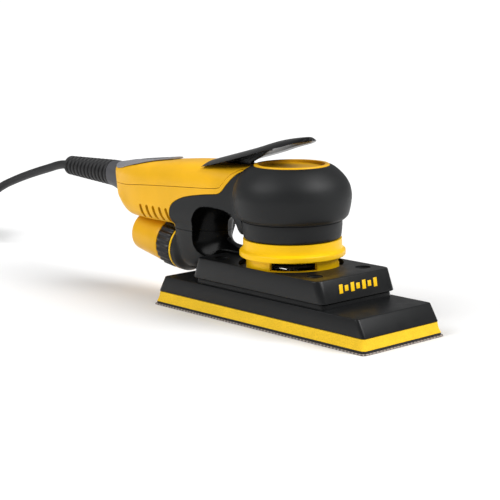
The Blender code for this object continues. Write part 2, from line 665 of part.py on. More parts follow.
def build_lever():
    """Crowned paddle with a turned-down rim and a plunger rib on its pivot."""
    crown = [(-65, 100.5), (-24, 111.0), (-3, 116.9), (15, 119.8), (19, 120.0)]
    width = [(-65, 19.8), (-52, 20.6), (-30, 19.4), (-10, 16.6), (5, 14.0), (13, 11.0),
             (17, 7.0), (19, 3.0)]
    rim = [(-65, 4.4), (-50, 5.0), (-20, 5.0), (5, 4.8), (19, 2.6)]
    thick = 1.9
    sections = []
    for x in (-65, -58, -50, -38, -24, -10, -3, 5, 11, 15, 18, 19):
        z, half, drop = read_line(crown, x), read_line(width, x), read_line(rim, x)
        outer = [(-1.0, drop), (-0.92, drop * 0.5), (-0.5, drop * 0.12), (0.0, 0.0),
                 (0.5, drop * 0.12), (0.92, drop * 0.5), (1.0, drop)]
        inner = [(0.9, drop), (0.8, drop * 0.5 + thick), (0.45, drop * 0.12 + thick), (0.0, thick),
                 (-0.45, drop * 0.12 + thick), (-0.8, drop * 0.5 + thick), (-0.9, drop)]
        outer = [(x, half * side, z - down) for side, down in outer]
        inner = [(x, half * side, z - min(down, max(drop, thick) + 0.2)) for side, down in inner]
        sections.append(outer + inner)
    lever = loft(sections)
    rib = prism_y([(-61.0, 98.6), (-61.0, 91.4), (-36.0, 90.2), (-36.0, 100.0), (-18.0, 108.6),
                   (-18.0, 111.0), (-24.0, 110.0), (-60.0, 100.6)], -1.5, 1.5)
    join(lever, rib)
    bore = disc(LEVER_PIN_R + GAP, -4.0, 4.0, count=ROUND_SMALL)
    stand_on_y(bore, LEVER_PIVOT)
    cut(lever, bore)
    finish(lever, "lever", BLACK, 0.35)

    pin = disc(LEVER_PIN_R, -10.2, 10.2, count=ROUND_SMALL)
    stand_on_y(pin, LEVER_PIVOT)
    finish(pin, "lever_pin", STEEL, 0.3, 1.0)

    wire, coil_r, turns, sides, per_turn = 0.35, 2.05, 3.5, 5, 9
    rows = []
    steps = int(turns * per_turn)
    for k in range(steps + 1):
        turn = 2 * math.pi * k / per_turn
        y = 2.9 + 4.2 * k / steps
        across = Vector((math.cos(turn), 0, math.sin(turn)))
        centre = Vector((LEVER_PIVOT[0], y, LEVER_PIVOT[1])) + across * coil_r
        rows.append([centre + across * wire * math.cos(2 * math.pi * j / sides)
                     + Vector((0, 1, 0)) * wire * math.sin(2 * math.pi * j / sides)
                     for j in range(sides)])
    spring = loft(rows)
    finish(spring, "lever_spring", STEEL, 0.3, 1.0)


def build_electrics():
    board = box((-152.0, -13.0, 70.0), (-112.0, 13.0, 71.6))
    join(board, box((-130.0, -10.0, 71.0), (-116.0, 8.0, 80.0)))
    join(board, box((-148.0, -6.0, 71.0), (-136.0, 8.0, 76.0)))
    finish(board, "control_board", (0.02, 0.16, 0.06), 0.5)
    capacitor = revolve([(0, 0.0), (6.4, 0.0), (7.0, 0.6), (7.0, 23.0), (0, 23.0)],
                        (-84.0, 0, 85.0), 0.0, 16, True)
    finish(capacitor, "capacitor", (0.03, 0.03, 0.06), 0.4)
    switch = box((-50.0, -5.0, 76.4), (-34.0, 5.0, 84.0))
    join(switch, box((-40.0, -1.2, 83.0), (-37.6, 1.2, 86.4)))
    finish(switch, "lever_switch", (0.03, 0.03, 0.03), 0.5)


# ---------------------------------------------------------------- mains lead

CABLE_Z = 79.0


def build_cable_entry():
    rings = ((-169.2, 10.8, 10.0, 76.4, 0.274), (-176.0, 9.9, 9.4, 77.4, 0.1),
             (-182.0, 8.8, 8.7, 78.4, 0.0), (-187.7, 8.2, 8.2, CABLE_Z, 0.0))
    sections = []
    for x, half_y, half_z, z, slant in rings:
        section = []
        for k in range(16):
            turn = 2 * math.pi * k / 16
            rise = half_z * math.sin(turn)
            section.append((x - slant * rise, half_y * math.cos(turn), z + rise))
        sections.append(section)
    collar = loft(sections)
    cut(collar, revolve([(0, 0.0), (4.4, 0.0), (4.4, 26.0), (0, 26.0)], (-164.0, 0, CABLE_Z),
                        0.0, ROUND_SMALL, True))
    finish(collar, "cable_collar", GREY, 0.5)

    rib_count = 12
    start, end = -188.0, -246.0
    pitch = (start - end) / rib_count
    profile = [(0.0, 0.0)]
    for k in range(rib_count):
        crest = 8.0 - 1.6 * k / rib_count
        profile += [(crest, k * pitch), (crest, (k + 0.55) * pitch), (crest - 1.2, (k + 0.8) * pitch)]
    profile += [(5.2, start - end), (0.0, start - end)]
    guard = revolve(profile, (start, 0, CABLE_Z), math.radians(0.8), ROUND_SMALL, True)
    finish(guard, "bend_protector", BLACK, 0.55)


def lead_route():
    """Free lead from the bend protector down to where the coil begins."""
    return [(-246.9, 0.0, 79.8), (-255.0, 0.0, 79.4), (-263.5, 0.0, 78.0), (-272.6, 0.0, 75.6),
            (-290.6, 0.0, 71.0), (-309.3, 0.0, 65.8), (-328.5, 0.2, 59.9), (-345.0, 0.8, 54.2),
            (-358.0, 1.8, 48.4), (-369.0, 3.4, 41.4), (-378.0, 5.6, 33.2), (-385.6, 8.2, 24.2),
            (-393.2, 11.3, 15.4), (-401.0, 14.4, 8.6)]


def tail_route():
    """Free lead from the top of the coil over its turns to the back of the plug."""
    turn_r = 27.0
    x, y = COIL_CENTRE[0] - 18.2, COIL_CENTRE[1] + 10.5
    points = []
    for angle, z in ((164, 30.2), (185, 31.0), (208, 32.2), (231, 33.2), (252, 33.8), (266, 33.9)):
        turn = math.radians(angle)
        points.append((x + turn_r * math.cos(turn), y + turn_r * math.sin(turn), z))
    return points


def cord_tube(name, points):
    curve = bpy.data.curves.new(name, "CURVE")
    curve.dimensions = "3D"
    curve.bevel_depth = CORD_D / 2 * MM
    curve.bevel_resolution = 2
    curve.use_fill_caps = True
    spline = curve.splines.new("POLY")
    spline.points.add(len(points) - 1)
    for point, place in zip(spline.points, points):
        point.co = (*[value * MM for value in place], 1.0)
    item = bpy.data.objects.new(name, curve)
    bpy.context.scene.collection.objects.link(item)
    curve.materials.append(material(name, BLACK, 0.5))
    return item


def build_cord():
    cord_tube("cord_lead", catmull(lead_route(), 2))
    cord_tube("cord_tail", catmull(tail_route(), 2))
    at = (*COIL_CENTRE, 0)
    outer = COIL_RADII[0] + CORD_D / 2
    inner = COIL_RADII[-1] - CORD_D / 2
    height = COIL_LAYERS * CORD_D
    coil = revolve([(inner, 1.0), (inner + 1.0, 0.0), (outer - 1.0, 0.0), (outer, 1.0),
                    (outer, height - 1), (outer - 1, height), (inner + 1, height),
                    (inner, height - 1)], at, count=32)
    finish(coil, "cord_coil", BLACK, 0.5)


def build_plug():
    """A moulded two-pin plug that lies across the coil."""
    x, y = (centre + offset for centre, offset in zip(COIL_CENTRE, PLUG_OFFSET))
    base = COIL_LAYERS * CORD_D + GAP
    sections = []
    for along, half, low, high in ((-19, 5.0, 3.0, 11.0), (-14, 8.0, 1.0, 14.0),
                                   (0, 13.0, 0.0, 16.0), (14, 13.2, 0.0, 16.0),
                                   (18, 11.6, 1.2, 14.8)):
        sections.append([(x + along, y - half, base + low + 2), (x + along, y - half + 2, base + low),
                         (x + along, y + half - 2, base + low), (x + along, y + half, base + low + 2),
                         (x + along, y + half, base + high - 3),
                         (x + along, y + half - 3, base + high),
                         (x + along, y - half + 3, base + high),
                         (x + along, y - half, base + high - 3)])
    body = loft(sections)
    finish(body, "plug_body", BLACK, 0.5)
    for number, side in ((1, -1), (2, 1)):
        pin = revolve([(0, 0), (1.6, 0), (2.3, 1.5), (2.3, 19.0), (0, 19.0)],
                      (x + 18.3 + 19.0, y + side * 9.5, base + 8.0), 0.0, ROUND_SMALL, True)
        finish(pin, f"plug_pin_{number}", STEEL, 0.3, 1.0)


def main():
    clear_scene()
    build_pad()
    build_rotor()
    build_motor()
    build_base()
    build_grip()
    build_duct()
    build_shells()
    build_keypad()
    build_outlet()
    build_lever()
    build_electrics()
    build_cable_entry()
    build_cord()
    build_plug()


main()
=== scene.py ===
"""Looks of a mains-powered orbital sander with a long rectangular pad, built round its frame."""
import contextlib
import math

import bmesh
import bpy
from bpy.props import FloatProperty, FloatVectorProperty, PointerProperty
from bpy.types import Operator, Panel, PropertyGroup
from mathutils import Euler, Matrix, Vector


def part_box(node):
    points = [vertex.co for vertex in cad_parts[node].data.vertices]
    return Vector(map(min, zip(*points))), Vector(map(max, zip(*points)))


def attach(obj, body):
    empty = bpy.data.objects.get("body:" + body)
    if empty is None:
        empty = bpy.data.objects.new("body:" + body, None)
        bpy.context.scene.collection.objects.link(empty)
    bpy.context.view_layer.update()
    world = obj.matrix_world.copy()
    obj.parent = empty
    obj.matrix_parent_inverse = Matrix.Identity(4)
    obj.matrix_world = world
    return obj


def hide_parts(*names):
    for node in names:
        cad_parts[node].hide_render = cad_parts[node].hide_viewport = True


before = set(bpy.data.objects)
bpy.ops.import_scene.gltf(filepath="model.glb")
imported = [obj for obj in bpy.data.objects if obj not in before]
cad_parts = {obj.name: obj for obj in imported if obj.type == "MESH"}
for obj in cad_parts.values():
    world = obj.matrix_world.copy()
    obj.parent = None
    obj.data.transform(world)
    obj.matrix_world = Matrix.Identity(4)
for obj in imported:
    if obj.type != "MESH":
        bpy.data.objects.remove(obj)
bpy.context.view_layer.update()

bl_info = {
    "name": "Long-pad Orbital Sander",
    "version": (1, 0, 0),
    "blender": (4, 5, 0),
    "location": "3D Viewport > Sidebar > Sander",
    "description": "Models the shells, grip, pad, lever and mains lead of an orbital sander",
    "category": "Object",
}

MM = 0.001
WIDE = 60.0                     # half the length of a cutter that passes the whole width
SKY_LIGHT = 0.27                # how strongly the sky lights the sander
SKY_WHITE = 1.05                # how bright the backdrop looks itself


# ------------------------------------------------------------------ sizes and colours

def size(name, description, value, low=0.0):
    """A length property in metres, given in millimetres."""
    return FloatProperty(name=name, description=description, default=value * MM,
                         min=low * MM, unit="LENGTH", subtype="DISTANCE", precision=4)


def colour(name, description, value):
    """A colour property, given in linear red, green and blue."""
    return FloatVectorProperty(name=name, description=description, default=value,
                               min=0.0, max=1.0, size=3, subtype="COLOR")


class SanderSizes(PropertyGroup):
    skin_step: size("Skin step", "Spacing of the mesh over the housing", 0.95, 0.4)
    wall: size("Shell wall", "Wall of the yellow housing shells", 2.4, 0.8)
    seam_gap: size("Seam gap", "Width of the joint lines between mouldings", 0.36)
    pad_edge: size("Pad edge", "Soft edge on the pad plate and the block", 0.7)
    foam_sink: size("Foam sink", "How far the sides of the foam are drawn in", 0.35)
    lead_diameter: size("Lead diameter", "Outside diameter of the mains lead", 6.5, 3.0)
    net_thickness: size("Net thickness", "Thickness of the abrasive net", 0.9, 0.3)


class SanderColours(PropertyGroup):
    soft_black: colour("Soft black", "Soft-touch grip", (0.0085, 0.0092, 0.0098))
    # The opening's black is far darker than the grip's: painted shade inside the finger opening.
    opening_shade_black: colour("Opening shade black", "Smoother wall of the finger opening, darkened as painted shade",
                         (0.0016, 0.0017, 0.0018))
    pad_black: colour("Pad black", "Pad plate and block", (0.007, 0.0075, 0.008))
    lever_black: colour("Lever black", "Lever and knurled collar", (0.0035, 0.0035, 0.004))
    shell_yellow: colour("Shell yellow", "Housing shells and spout", (0.84, 0.445, 0.010))
    ring_yellow: colour("Ring yellow", "Base ring and flange", (1.0, 0.57, 0.004))
    foam_yellow: colour("Foam yellow", "Foam cushion", (0.88, 0.55, 0.02))
    panel_grey: colour("Panel grey", "Keypad panel", (0.22, 0.22, 0.24))
    entry_grey: colour("Entry grey", "Cable collar", (0.06, 0.06, 0.068))
    net_brown: colour("Net brown", "Abrasive net", (0.42, 0.36, 0.32))
    floor: colour("Floor", "Studio floor", (0.93, 0.93, 0.93))


class SanderStage(PropertyGroup):
    azimuth: FloatProperty(name="Azimuth", description="Side that the camera stands on",
                           default=math.radians(48.64), subtype="ANGLE")
    elevation: FloatProperty(name="Elevation", description="Height angle of the camera",
                             default=math.radians(10.604), subtype="ANGLE")
    roll: FloatProperty(name="Roll", description="Tilt of the camera about its own view",
                        default=math.radians(-0.879), subtype="ANGLE")
    distance: size("Distance", "Camera to target", 950.04, 100.0)
    target: FloatVectorProperty(name="Target", description="Point that the camera looks at",
                                default=(-0.02144, -0.01628, 0.04515), subtype="TRANSLATION")
    lens: FloatProperty(name="Lens", description="Focal length in millimetres",
                        default=105.6, min=20.0)


def sizes():
    return bpy.context.scene.sander_sizes


def colours():
    return bpy.context.scene.sander_colours


# ------------------------------------------------------------------ shader maths

class Value:
    """A shader socket that can stand in a sum."""

    def __init__(self, finish, socket):
        self.finish = finish
        self.socket = socket

    def operate(self, operation, left, right):
        return self.finish.node("ShaderNodeMath", {"operation": operation}, {0: left, 1: right})

    def __add__(self, other):
        return self.operate("ADD", self, other)

    def __radd__(self, other):
        return self.operate("ADD", other, self)

    def __sub__(self, other):
        return self.operate("SUBTRACT", self, other)

    def __rsub__(self, other):
        return self.operate("SUBTRACT", other, self)

    def __mul__(self, other):
        return self.operate("MULTIPLY", self, other)

    def __rmul__(self, other):
        return self.operate("MULTIPLY", other, self)

    def __gt__(self, other):
        return self.operate("GREATER_THAN", self, other)


class Finish:
    """One procedural finish: a Principled shader and the nodes that feed it."""

    def __init__(self, name, tone, roughness, metallic=0.0, **uniform):
        self.material = bpy.data.materials.new(name)
        self.material.use_nodes = True
        self.tree = self.material.node_tree
        self.shader = self.tree.nodes["Principled BSDF"]
        self.tone = tuple(tone)
        self.material.diffuse_color = (*self.tone, 1.0)
        self.shader.inputs["Base Color"].default_value = (*self.tone, 1.0)
        self.shader.inputs["Roughness"].default_value = roughness
        self.shader.inputs["Metallic"].default_value = metallic
        for socket, value in uniform.items():
            self.shader.inputs[socket.replace("_", " ")].default_value = value
        self.place = self.node("ShaderNodeTexCoord", {}, {}, "Object")

    def node(self, kind, settings, inputs, output=0):
        """Add a node: its settings first, then the value or link of each socket."""
        node = self.tree.nodes.new(kind)
        for key, value in settings.items():
            setattr(node, key, value)
        for key, value in inputs.items():
            if isinstance(value, Value):
                self.tree.links.new(value.socket, node.inputs[key])
            else:
                node.inputs[key].default_value = value
        return Value(self, node.outputs[output])

    def stretched(self, x, y, z):
        """Object coordinates, drawn out by a factor along each axis."""
        return self.node("ShaderNodeVectorMath", {"operation": "MULTIPLY"},
                         {0: self.place, 1: (x, y, z)})

    def noise(self, scale, detail=2.0, where=None):
        return self.node("ShaderNodeTexNoise", {},
                         {"Vector": where or self.place, "Scale": scale, "Detail": detail})

    def cells(self, scale, feature="F1"):
        return self.node("ShaderNodeTexVoronoi", {"feature": feature},
                         {"Vector": self.place, "Scale": scale})

    def bands(self, scale, direction, where=None):
        return self.node("ShaderNodeTexWave", {"bands_direction": direction},
                         {"Vector": where or self.place, "Scale": scale}, "Fac")

    def ramp(self, value, low, high):
        """The value stretched so that low reads 0 and high reads 1."""
        return self.node("ShaderNodeMapRange", {},
                         {"Value": value, "From Min": low, "From Max": high})

    def mix(self, factor, first, second):
        """A blend of two colours, each a colour or a link."""
        first, second = (c if isinstance(c, Value) else (*c, 1.0) for c in (first, second))
        return self.node("ShaderNodeMix", {"data_type": "RGBA"},
                         {0: factor, 6: first, 7: second}, 2)

    def shade(self, amount):
        """This finish's own colour, darker or lighter."""
        return tuple(min(1.0, channel * amount) for channel in self.tone)

    def feed(self, socket, value):
        self.tree.links.new(value.socket, self.shader.inputs[socket])

    def bump(self, height, strength, depth):
        """Relief with a depth in millimetres."""
        normal = self.node("ShaderNodeBump", {},
                           {"Height": height, "Strength": strength, "Distance": depth * MM})
        self.feed("Normal", normal)


def moulded(name, tone, roughness, relief=0.25, depth=0.03, grain=1900.0, **uniform):
    """Injection-moulded plastic: slow changes of tone and a spark-eroded grain."""
    finish = Finish(name, tone, roughness, **uniform)
    cloud = finish.noise(26.0, 3.0)
    grit = finish.noise(grain, 2.0)
    rub = finish.ramp(finish.noise(140.0, 5.0), 0.35, 0.75)
    blend = finish.ramp(cloud, 0.3, 0.7)
    finish.feed("Base Color", finish.mix(blend, finish.shade(0.9), finish.shade(1.08)))
    finish.feed("Roughness", roughness + (grit - 0.5) * 0.16 + (rub - 0.5) * 0.08)
    finish.bump(grit + rub * 0.35, relief, depth)
    return finish.material


def soft_touch(name, tone, roughness):
    """Rubbery overmould: a fine pebble, slightly polished where a hand rubs it."""
    finish = Finish(name, tone, roughness, Specular_IOR_Level=0.27)
    pebble = finish.cells(1500.0)
    grit = finish.noise(3200.0, 2.0)
    worn = finish.ramp(finish.noise(32.0, 4.0), 0.38, 0.66)
    finish.feed("Base Color", finish.mix(worn, finish.shade(0.86), finish.shade(1.16)))
    finish.feed("Roughness", roughness + (worn - 0.5) * 0.1 + (grit - 0.5) * 0.14)
    finish.bump(pebble * 0.7 + grit * 0.5, 0.22, 0.035)
    return finish.material


def foam_finish(name, tone):
    """Cut face of a closed-cell foam: small open cells and a matt, chalky body."""
    finish = Finish(name, tone, 0.82, Specular_IOR_Level=0.25)
    pores_and_shade = finish.ramp(finish.cells(1150.0), 0.02, 0.5)
    fine = finish.noise(2600.0, 3.0)
    cloud = finish.ramp(finish.noise(90.0, 4.0), 0.3, 0.7)
    body = finish.mix(cloud, finish.shade(0.93), finish.shade(1.06))
    # The open cells are coloured darker than the foam's body: painted shade inside the pores. The
    # same cells also give the relief.
    finish.feed("Base Color", finish.mix(pores_and_shade, finish.shade(0.78), body))
    finish.feed("Roughness", 0.92 - fine * 0.2)
    finish.bump(pores_and_shade * 0.8 + fine * 0.4, 0.55, 0.12)
    return finish.material


def net_finish(name, tone):
    """Open abrasive net: knitted cells set on the slant, with loose grit over the threads."""
    finish = Finish(name, tone, 0.9, Specular_IOR_Level=0.3)
    slant = finish.node("ShaderNodeVectorRotate", {"rotation_type": "Z_AXIS"},
                        {"Vector": finish.place, "Angle": math.radians(45.0)})
    threads = finish.node("ShaderNodeMath", {"operation": "MAXIMUM"}, {
        0: finish.bands(150.0, "X", slant), 1: finish.bands(150.0, "Y", slant)})
    grit = finish.noise(2400.0, 4.0)
    sparkle = finish.ramp(finish.cells(2300.0), 0.08, 0.4)
    cord = finish.ramp(threads, 0.55, 0.8)
    grain = finish.mix(sparkle, (0.16, 0.13, 0.12), tone)
    finish.feed("Base Color", finish.mix(cord, finish.shade(0.35), grain))
    finish.feed("Roughness", 0.95 - grit * 0.25)
    finish.bump(cord * 0.8 + grit * 0.5, 0.9, 0.3)
    return finish.material


def hook_finish(name, tone):
    """Short nylon hooks standing in rows."""
    finish = Finish(name, tone, 0.85)
    tufts = finish.cells(1300.0)
    rows = finish.bands(420.0, "X")
    finish.feed("Base Color", finish.mix(tufts * rows, finish.shade(0.6), finish.shade(2.2)))
    finish.feed("Roughness", 0.95 - tufts * 0.3)
    finish.bump(tufts + rows * 0.5, 0.8, 0.25)
    return finish.material


def metal_finish(name, tone, roughness, grain=(1.0, 1.0, 22.0), metallic=1.0):
    """Turned or ground metal: fine lines drawn along one way."""
    finish = Finish(name, tone, roughness, metallic)
    lines = finish.noise(260.0, 4.0, finish.stretched(*grain))
    stain = finish.ramp(finish.noise(70.0, 4.0), 0.35, 0.7)
    finish.feed("Base Color", finish.mix(stain, finish.shade(0.86), finish.shade(1.04)))
    finish.feed("Roughness", roughness + (lines - 0.5) * 0.25 + stain * 0.06)
    finish.bump(lines, 0.2, 0.02)
    return finish.material


def winding_finish(name, tone):
    """Enamelled wire laid in coils."""
    finish = Finish(name, tone, 0.32, 0.85, Coat_Weight=0.5)
    wire = finish.bands(420.0, "X") * 0.5 + finish.bands(420.0, "Y") * 0.5
    # Darker between the wires and lighter on their crowns: painted shade in the grooves between the
    # turns.
    shade = finish.ramp(wire, 0.2, 0.7)
    finish.feed("Base Color", finish.mix(shade, finish.shade(0.35), finish.shade(1.1)))
    finish.feed("Roughness", 0.45 - wire * 0.2)
    finish.bump(wire, 0.8, 0.2)
    return finish.material


def board_finish(name, tone):
    """Solder mask over copper tracks, with tinned pads."""
    finish = Finish(name, tone, 0.35)
    tracks = finish.ramp(finish.cells(260.0, "DISTANCE_TO_EDGE"), 0.04, 0.09)
    pads = finish.cells(420.0) > 0.36
    body = finish.mix(tracks, finish.shade(1.9), finish.tone)
    finish.feed("Base Color", finish.mix(pads, body, (0.5, 0.5, 0.48)))
    finish.feed("Roughness", 0.42 - pads * 0.15)
    finish.bump(tracks, 0.3, 0.05)
    return finish.material


def jacket_finish(name, tone):
    """Rubber jacket of the lead: matt, with drawn lines and a little bloom."""
    finish = Finish(name, tone, 0.5, Specular_IOR_Level=0.35)
    drawn = finish.noise(420.0, 3.0)
    bloom = finish.ramp(finish.noise(60.0, 5.0), 0.35, 0.75)
    finish.feed("Base Color", finish.mix(bloom, finish.shade(0.85), finish.shade(1.35)))
    finish.feed("Roughness", 0.46 + bloom * 0.12 + (drawn - 0.5) * 0.12)
    finish.bump(drawn, 0.2, 0.05)
    return finish.material


def lens_finish(name, tone):
    """Moulded lens of the status light."""
    finish = Finish(name, tone, 0.12, Coat_Weight=0.6)
    depth = finish.ramp(finish.noise(700.0, 2.0), 0.3, 0.7)
    finish.feed("Base Color", finish.mix(depth, finish.shade(0.75), finish.shade(1.2)))
    finish.feed("Roughness", 0.1 + depth * 0.1)
    return finish.material


def make_finishes():
    """Every finish of the sander, by its slot in the record."""
    tone = colours()
    return {
        "grip_black": soft_touch("grip_black", tone.soft_black, 0.5),
        # painted shade: the finger opening's wall gets a much darker black than the grip
        "grip_lining": moulded("grip_lining", tone.opening_shade_black, 0.3, 0.12,
                               Specular_IOR_Level=0.09),
        "duct_black": soft_touch("duct_black", tone.soft_black, 0.46),
        "plate_black": moulded("plate_black", tone.pad_black, 0.36, 0.2,
                               Specular_IOR_Level=0.22),
        "block_black": moulded("block_black", tone.pad_black, 0.34, 0.18,
                               Specular_IOR_Level=0.26),
        "lever_black": moulded("lever_black", tone.lever_black, 0.24, 0.1,
                               Specular_IOR_Level=0.35),
        "collar_black": moulded("collar_black", tone.lever_black, 0.42, 0.25,
                                Specular_IOR_Level=0.4),
        "shell_yellow": moulded("shell_yellow", tone.shell_yellow, 0.36, 0.16,
                                Specular_IOR_Level=0.2),
        "ring_yellow": moulded("ring_yellow", tone.ring_yellow, 0.34, 0.14,
                               Specular_IOR_Level=0.18),
        "foam_yellow": foam_finish("foam_yellow", tone.foam_yellow),
        "abrasive_net": net_finish("abrasive_net", tone.net_brown),
        "hook_fabric": hook_finish("hook_fabric", (0.012, 0.012, 0.013)),
        "panel_grey": moulded("panel_grey", tone.panel_grey, 0.4, 0.3),
        "button_dark": soft_touch("button_dark", (0.03, 0.03, 0.033), 0.55),
        "light_green": lens_finish("light_green", (0.03, 0.12, 0.05)),
        "entry_grey": moulded("entry_grey", tone.entry_grey, 0.5, 0.3),
        "sleeve_black": jacket_finish("sleeve_black", (0.013, 0.013, 0.014)),
        "cord_black": jacket_finish("cord_black", (0.014, 0.014, 0.015)),
        "steel": metal_finish("steel", (0.56, 0.57, 0.59), 0.28),
        "cast_alloy": metal_finish("cast_alloy", (0.2, 0.2, 0.21), 0.55, (1.0, 1.0, 1.0)),
        "winding_copper": winding_finish("winding_copper", (0.72, 0.31, 0.12)),
        "magnet_dark": metal_finish("magnet_dark", (0.12, 0.12, 0.135), 0.42, (1, 1, 1), 0.7),
        "board_green": board_finish("board_green", (0.012, 0.14, 0.045)),
        "fan_grey": moulded("fan_grey", (0.018, 0.018, 0.02), 0.6, 0.25, Specular_IOR_Level=0.2),
    }


# ------------------------------------------------------------------ modelling helpers

def deselect():
    if bpy.context.mode != "OBJECT":
        bpy.ops.object.mode_set(mode="OBJECT")
    bpy.ops.object.select_all(action="DESELECT")


def activate(item):
    deselect()
    item.select_set(True)
    bpy.context.view_layer.objects.active = item
    return item


def added(name):
    """The object that the last primitive made, under its own name."""
    item = bpy.context.object
    item.name = item.data.name = name
    return item


@contextlib.contextmanager
def editing(item, kind="VERT"):
    activate(item)
    bpy.ops.object.mode_set(mode="EDIT")
    bpy.ops.mesh.select_mode(type=kind)
    yield
    bpy.ops.object.mode_set(mode="OBJECT")


def pick(item, kind, test):
    """In edit mode, select only the verts, edges or faces that pass a test."""
    bpy.ops.mesh.select_all(action="DESELECT")
    mesh = bmesh.from_edit_mesh(item.data)
    for element in getattr(mesh, kind):
        if test(element):
            element.select_set(True)
    mesh.select_flush_mode()
    bmesh.update_edit_mesh(item.data)


def modify(item, kind, **settings):
    """Add one modifier, set it and apply it."""
    activate(item)
    bpy.ops.object.modifier_add(type=kind)
    modifier = item.modifiers[-1]
    for key, value in settings.items():
        setattr(modifier, key, value)
    bpy.ops.object.modifier_apply(modifier=modifier.name)
    return item


def boolean(item, tool, operation="DIFFERENCE"):
    """Cut, join or keep what is common; the tool is used up."""
    if not item.data.polygons or not tool.data.polygons:
        raise RuntimeError(f"{item.name} or {tool.name} is empty before {operation}")
    modify(item, "BOOLEAN", operation=operation, solver="MANIFOLD", object=tool)
    if not item.data.polygons:
        raise RuntimeError(f"{operation} with {tool.name} left nothing of {item.name}")
    bpy.data.objects.remove(tool, do_unlink=True)
    return item


def cut(item, *tools):
    for tool in tools:
        boolean(item, tool)
    return item


def join(item, *tools):
    for tool in tools:
        boolean(item, tool, "UNION")
    return item


def twin(item, name):
    """A copy with its own mesh."""
    activate(item)
    bpy.ops.object.duplicate()
    return added(name)


def sew(item, fill=True):
    """Close seams and poles, cap open ends and turn the faces outwards."""
    with editing(item):
        bpy.ops.mesh.select_all(action="SELECT")
        bpy.ops.mesh.remove_doubles(threshold=0.01 * MM)
        bpy.ops.mesh.dissolve_degenerate(threshold=0.001 * MM)
        bpy.ops.mesh.delete_loose()
        if fill:
            bpy.ops.mesh.select_all(action="SELECT")
            bpy.ops.mesh.fill_holes(sides=0)
        bpy.ops.mesh.select_all(action="SELECT")
        bpy.ops.mesh.normals_make_consistent(inside=False)
    return item


def settle(item, at=(0.0, 0.0, 0.0), turn=(0.0, 0.0, 0.0)):
    """Turn and move a piece, and put its place into its mesh."""
    activate(item)
    item.rotation_euler = Euler(turn)
    item.location = Vector(at) * MM
    bpy.ops.object.transform_apply(location=True, rotation=True, scale=True)
    return item


def ring_of(name, outline):
    """A circle primitive drawn out to a closed outline of points in millimetres."""
    deselect()
    bpy.ops.mesh.primitive_circle_add(vertices=len(outline), radius=1.0)
    item = added(name)
    for vert, point in zip(item.data.vertices, outline):
        vert.co = Vector(point) * MM
    return item


def turned(name, profile, steps=96):
    """Spin a closed outline of (radius, height) points about the upright axis."""
    item = ring_of(name, [(radius, 0.0, height) for radius, height in profile])
    with editing(item):
        bpy.ops.mesh.select_all(action="SELECT")
        bpy.ops.mesh.spin(steps=steps, angle=2 * math.pi, use_auto_merge=True,
                          center=(0, 0, 0), axis=(0, 0, 1))
    return sew(item, fill=False)


def rod(name, radius, low, high, steps=32):
    """A plain round rod on the upright axis, mostly to drill with."""
    return turned(name, [(0, low), (radius, low), (radius, high), (0, high)], steps)


def extruded(name, outline, move):
    """Fill a closed outline and extrude it by a move in millimetres."""
    item = ring_of(name, outline)
    with editing(item):
        bpy.ops.mesh.select_all(action="SELECT")
        bpy.ops.mesh.edge_face_add()
        bpy.ops.mesh.extrude_region_move(
            TRANSFORM_OT_translate={"value": tuple(step * MM for step in move)})
    return sew(item, fill=False)


def prism(name, outline, low=-WIDE, high=WIDE):
    """Extrude a side-view outline of (x, z) points across the width."""
    return extruded(name, [(x, low, z) for x, z in outline], (0, high - low, 0))


def skin(name, around, along, place, fill=True):
    """Lay a grid primitive over a surface: place(u, v) is a point in millimetres."""
    deselect()
    bpy.ops.mesh.primitive_grid_add(x_subdivisions=around, y_subdivisions=along, size=2.0)
    item = added(name)
    for vert in item.data.vertices:
        vert.co = Vector(place((vert.co.x + 1) / 2, (vert.co.y + 1) / 2)) * MM
    return sew(item, fill)


def drawn(name, around, along, start, end, section):
    """A closed tube: section(place, turn) is its point at a place along it and a turn round it."""
    def place(u, v):
        return section(start + (end - start) * v, 2 * math.pi * (u + 0.5 / around))
    return skin(name, around, along, place)


def cuboid(name, low, high):
    """A cube primitive between two corners in millimetres."""
    deselect()
    low, high = Vector(low), Vector(high)
    bpy.ops.mesh.primitive_cube_add(size=1.0, location=(low + high) / 2 * MM,
                                    scale=(high - low) * MM)
    bpy.ops.object.transform_apply(location=True, rotation=True, scale=True)
    return added(name)


def soften(item, width, segments=2, angle=40.0):
    """Round every edge sharper than an angle."""
    return modify(item, "BEVEL", width=width * MM, segments=segments, limit_method="ANGLE",
                  angle_limit=math.radians(angle))


def tapered_slab(name, bottom, top, corner, edge):
    """A cube drawn out to a tapered block with round upright corners and soft rims.

    bottom and top are (half length, half width, height) in millimetres.
    """
    item = cuboid(name, (-bottom[0], -bottom[1], bottom[2]), (bottom[0], bottom[1], top[2]))
    middle = (bottom[2] + top[2]) / 2 * MM
    with editing(item, "FACE"):
        pick(item, "faces", lambda face: face.normal.z > 0.9)
        bpy.ops.transform.resize(value=(top[0] / bottom[0], top[1] / bottom[1], 1.0))
        bpy.ops.mesh.select_mode(type="EDGE")
        pick(item, "edges", lambda edge: (edge.verts[0].co.z - middle)
             * (edge.verts[1].co.z - middle) < 0)
        bpy.ops.mesh.bevel(offset=corner * MM, segments=8, affect="EDGES")
        if edge:
            pick(item, "edges", lambda e: abs(e.verts[0].co.z - e.verts[1].co.z) < 1e-7)
            bpy.ops.mesh.bevel(offset=edge * MM, segments=3, affect="EDGES")
    return item


def arc(centre, radius, start, end, steps):
    """Points of a round corner, in (first, second) coordinates."""
    points = []
    for k in range(steps + 1):
        turn = math.radians(start + (end - start) * k / steps)
        points.append((centre[0] + radius * math.cos(turn), centre[1] + radius * math.sin(turn)))
    return points


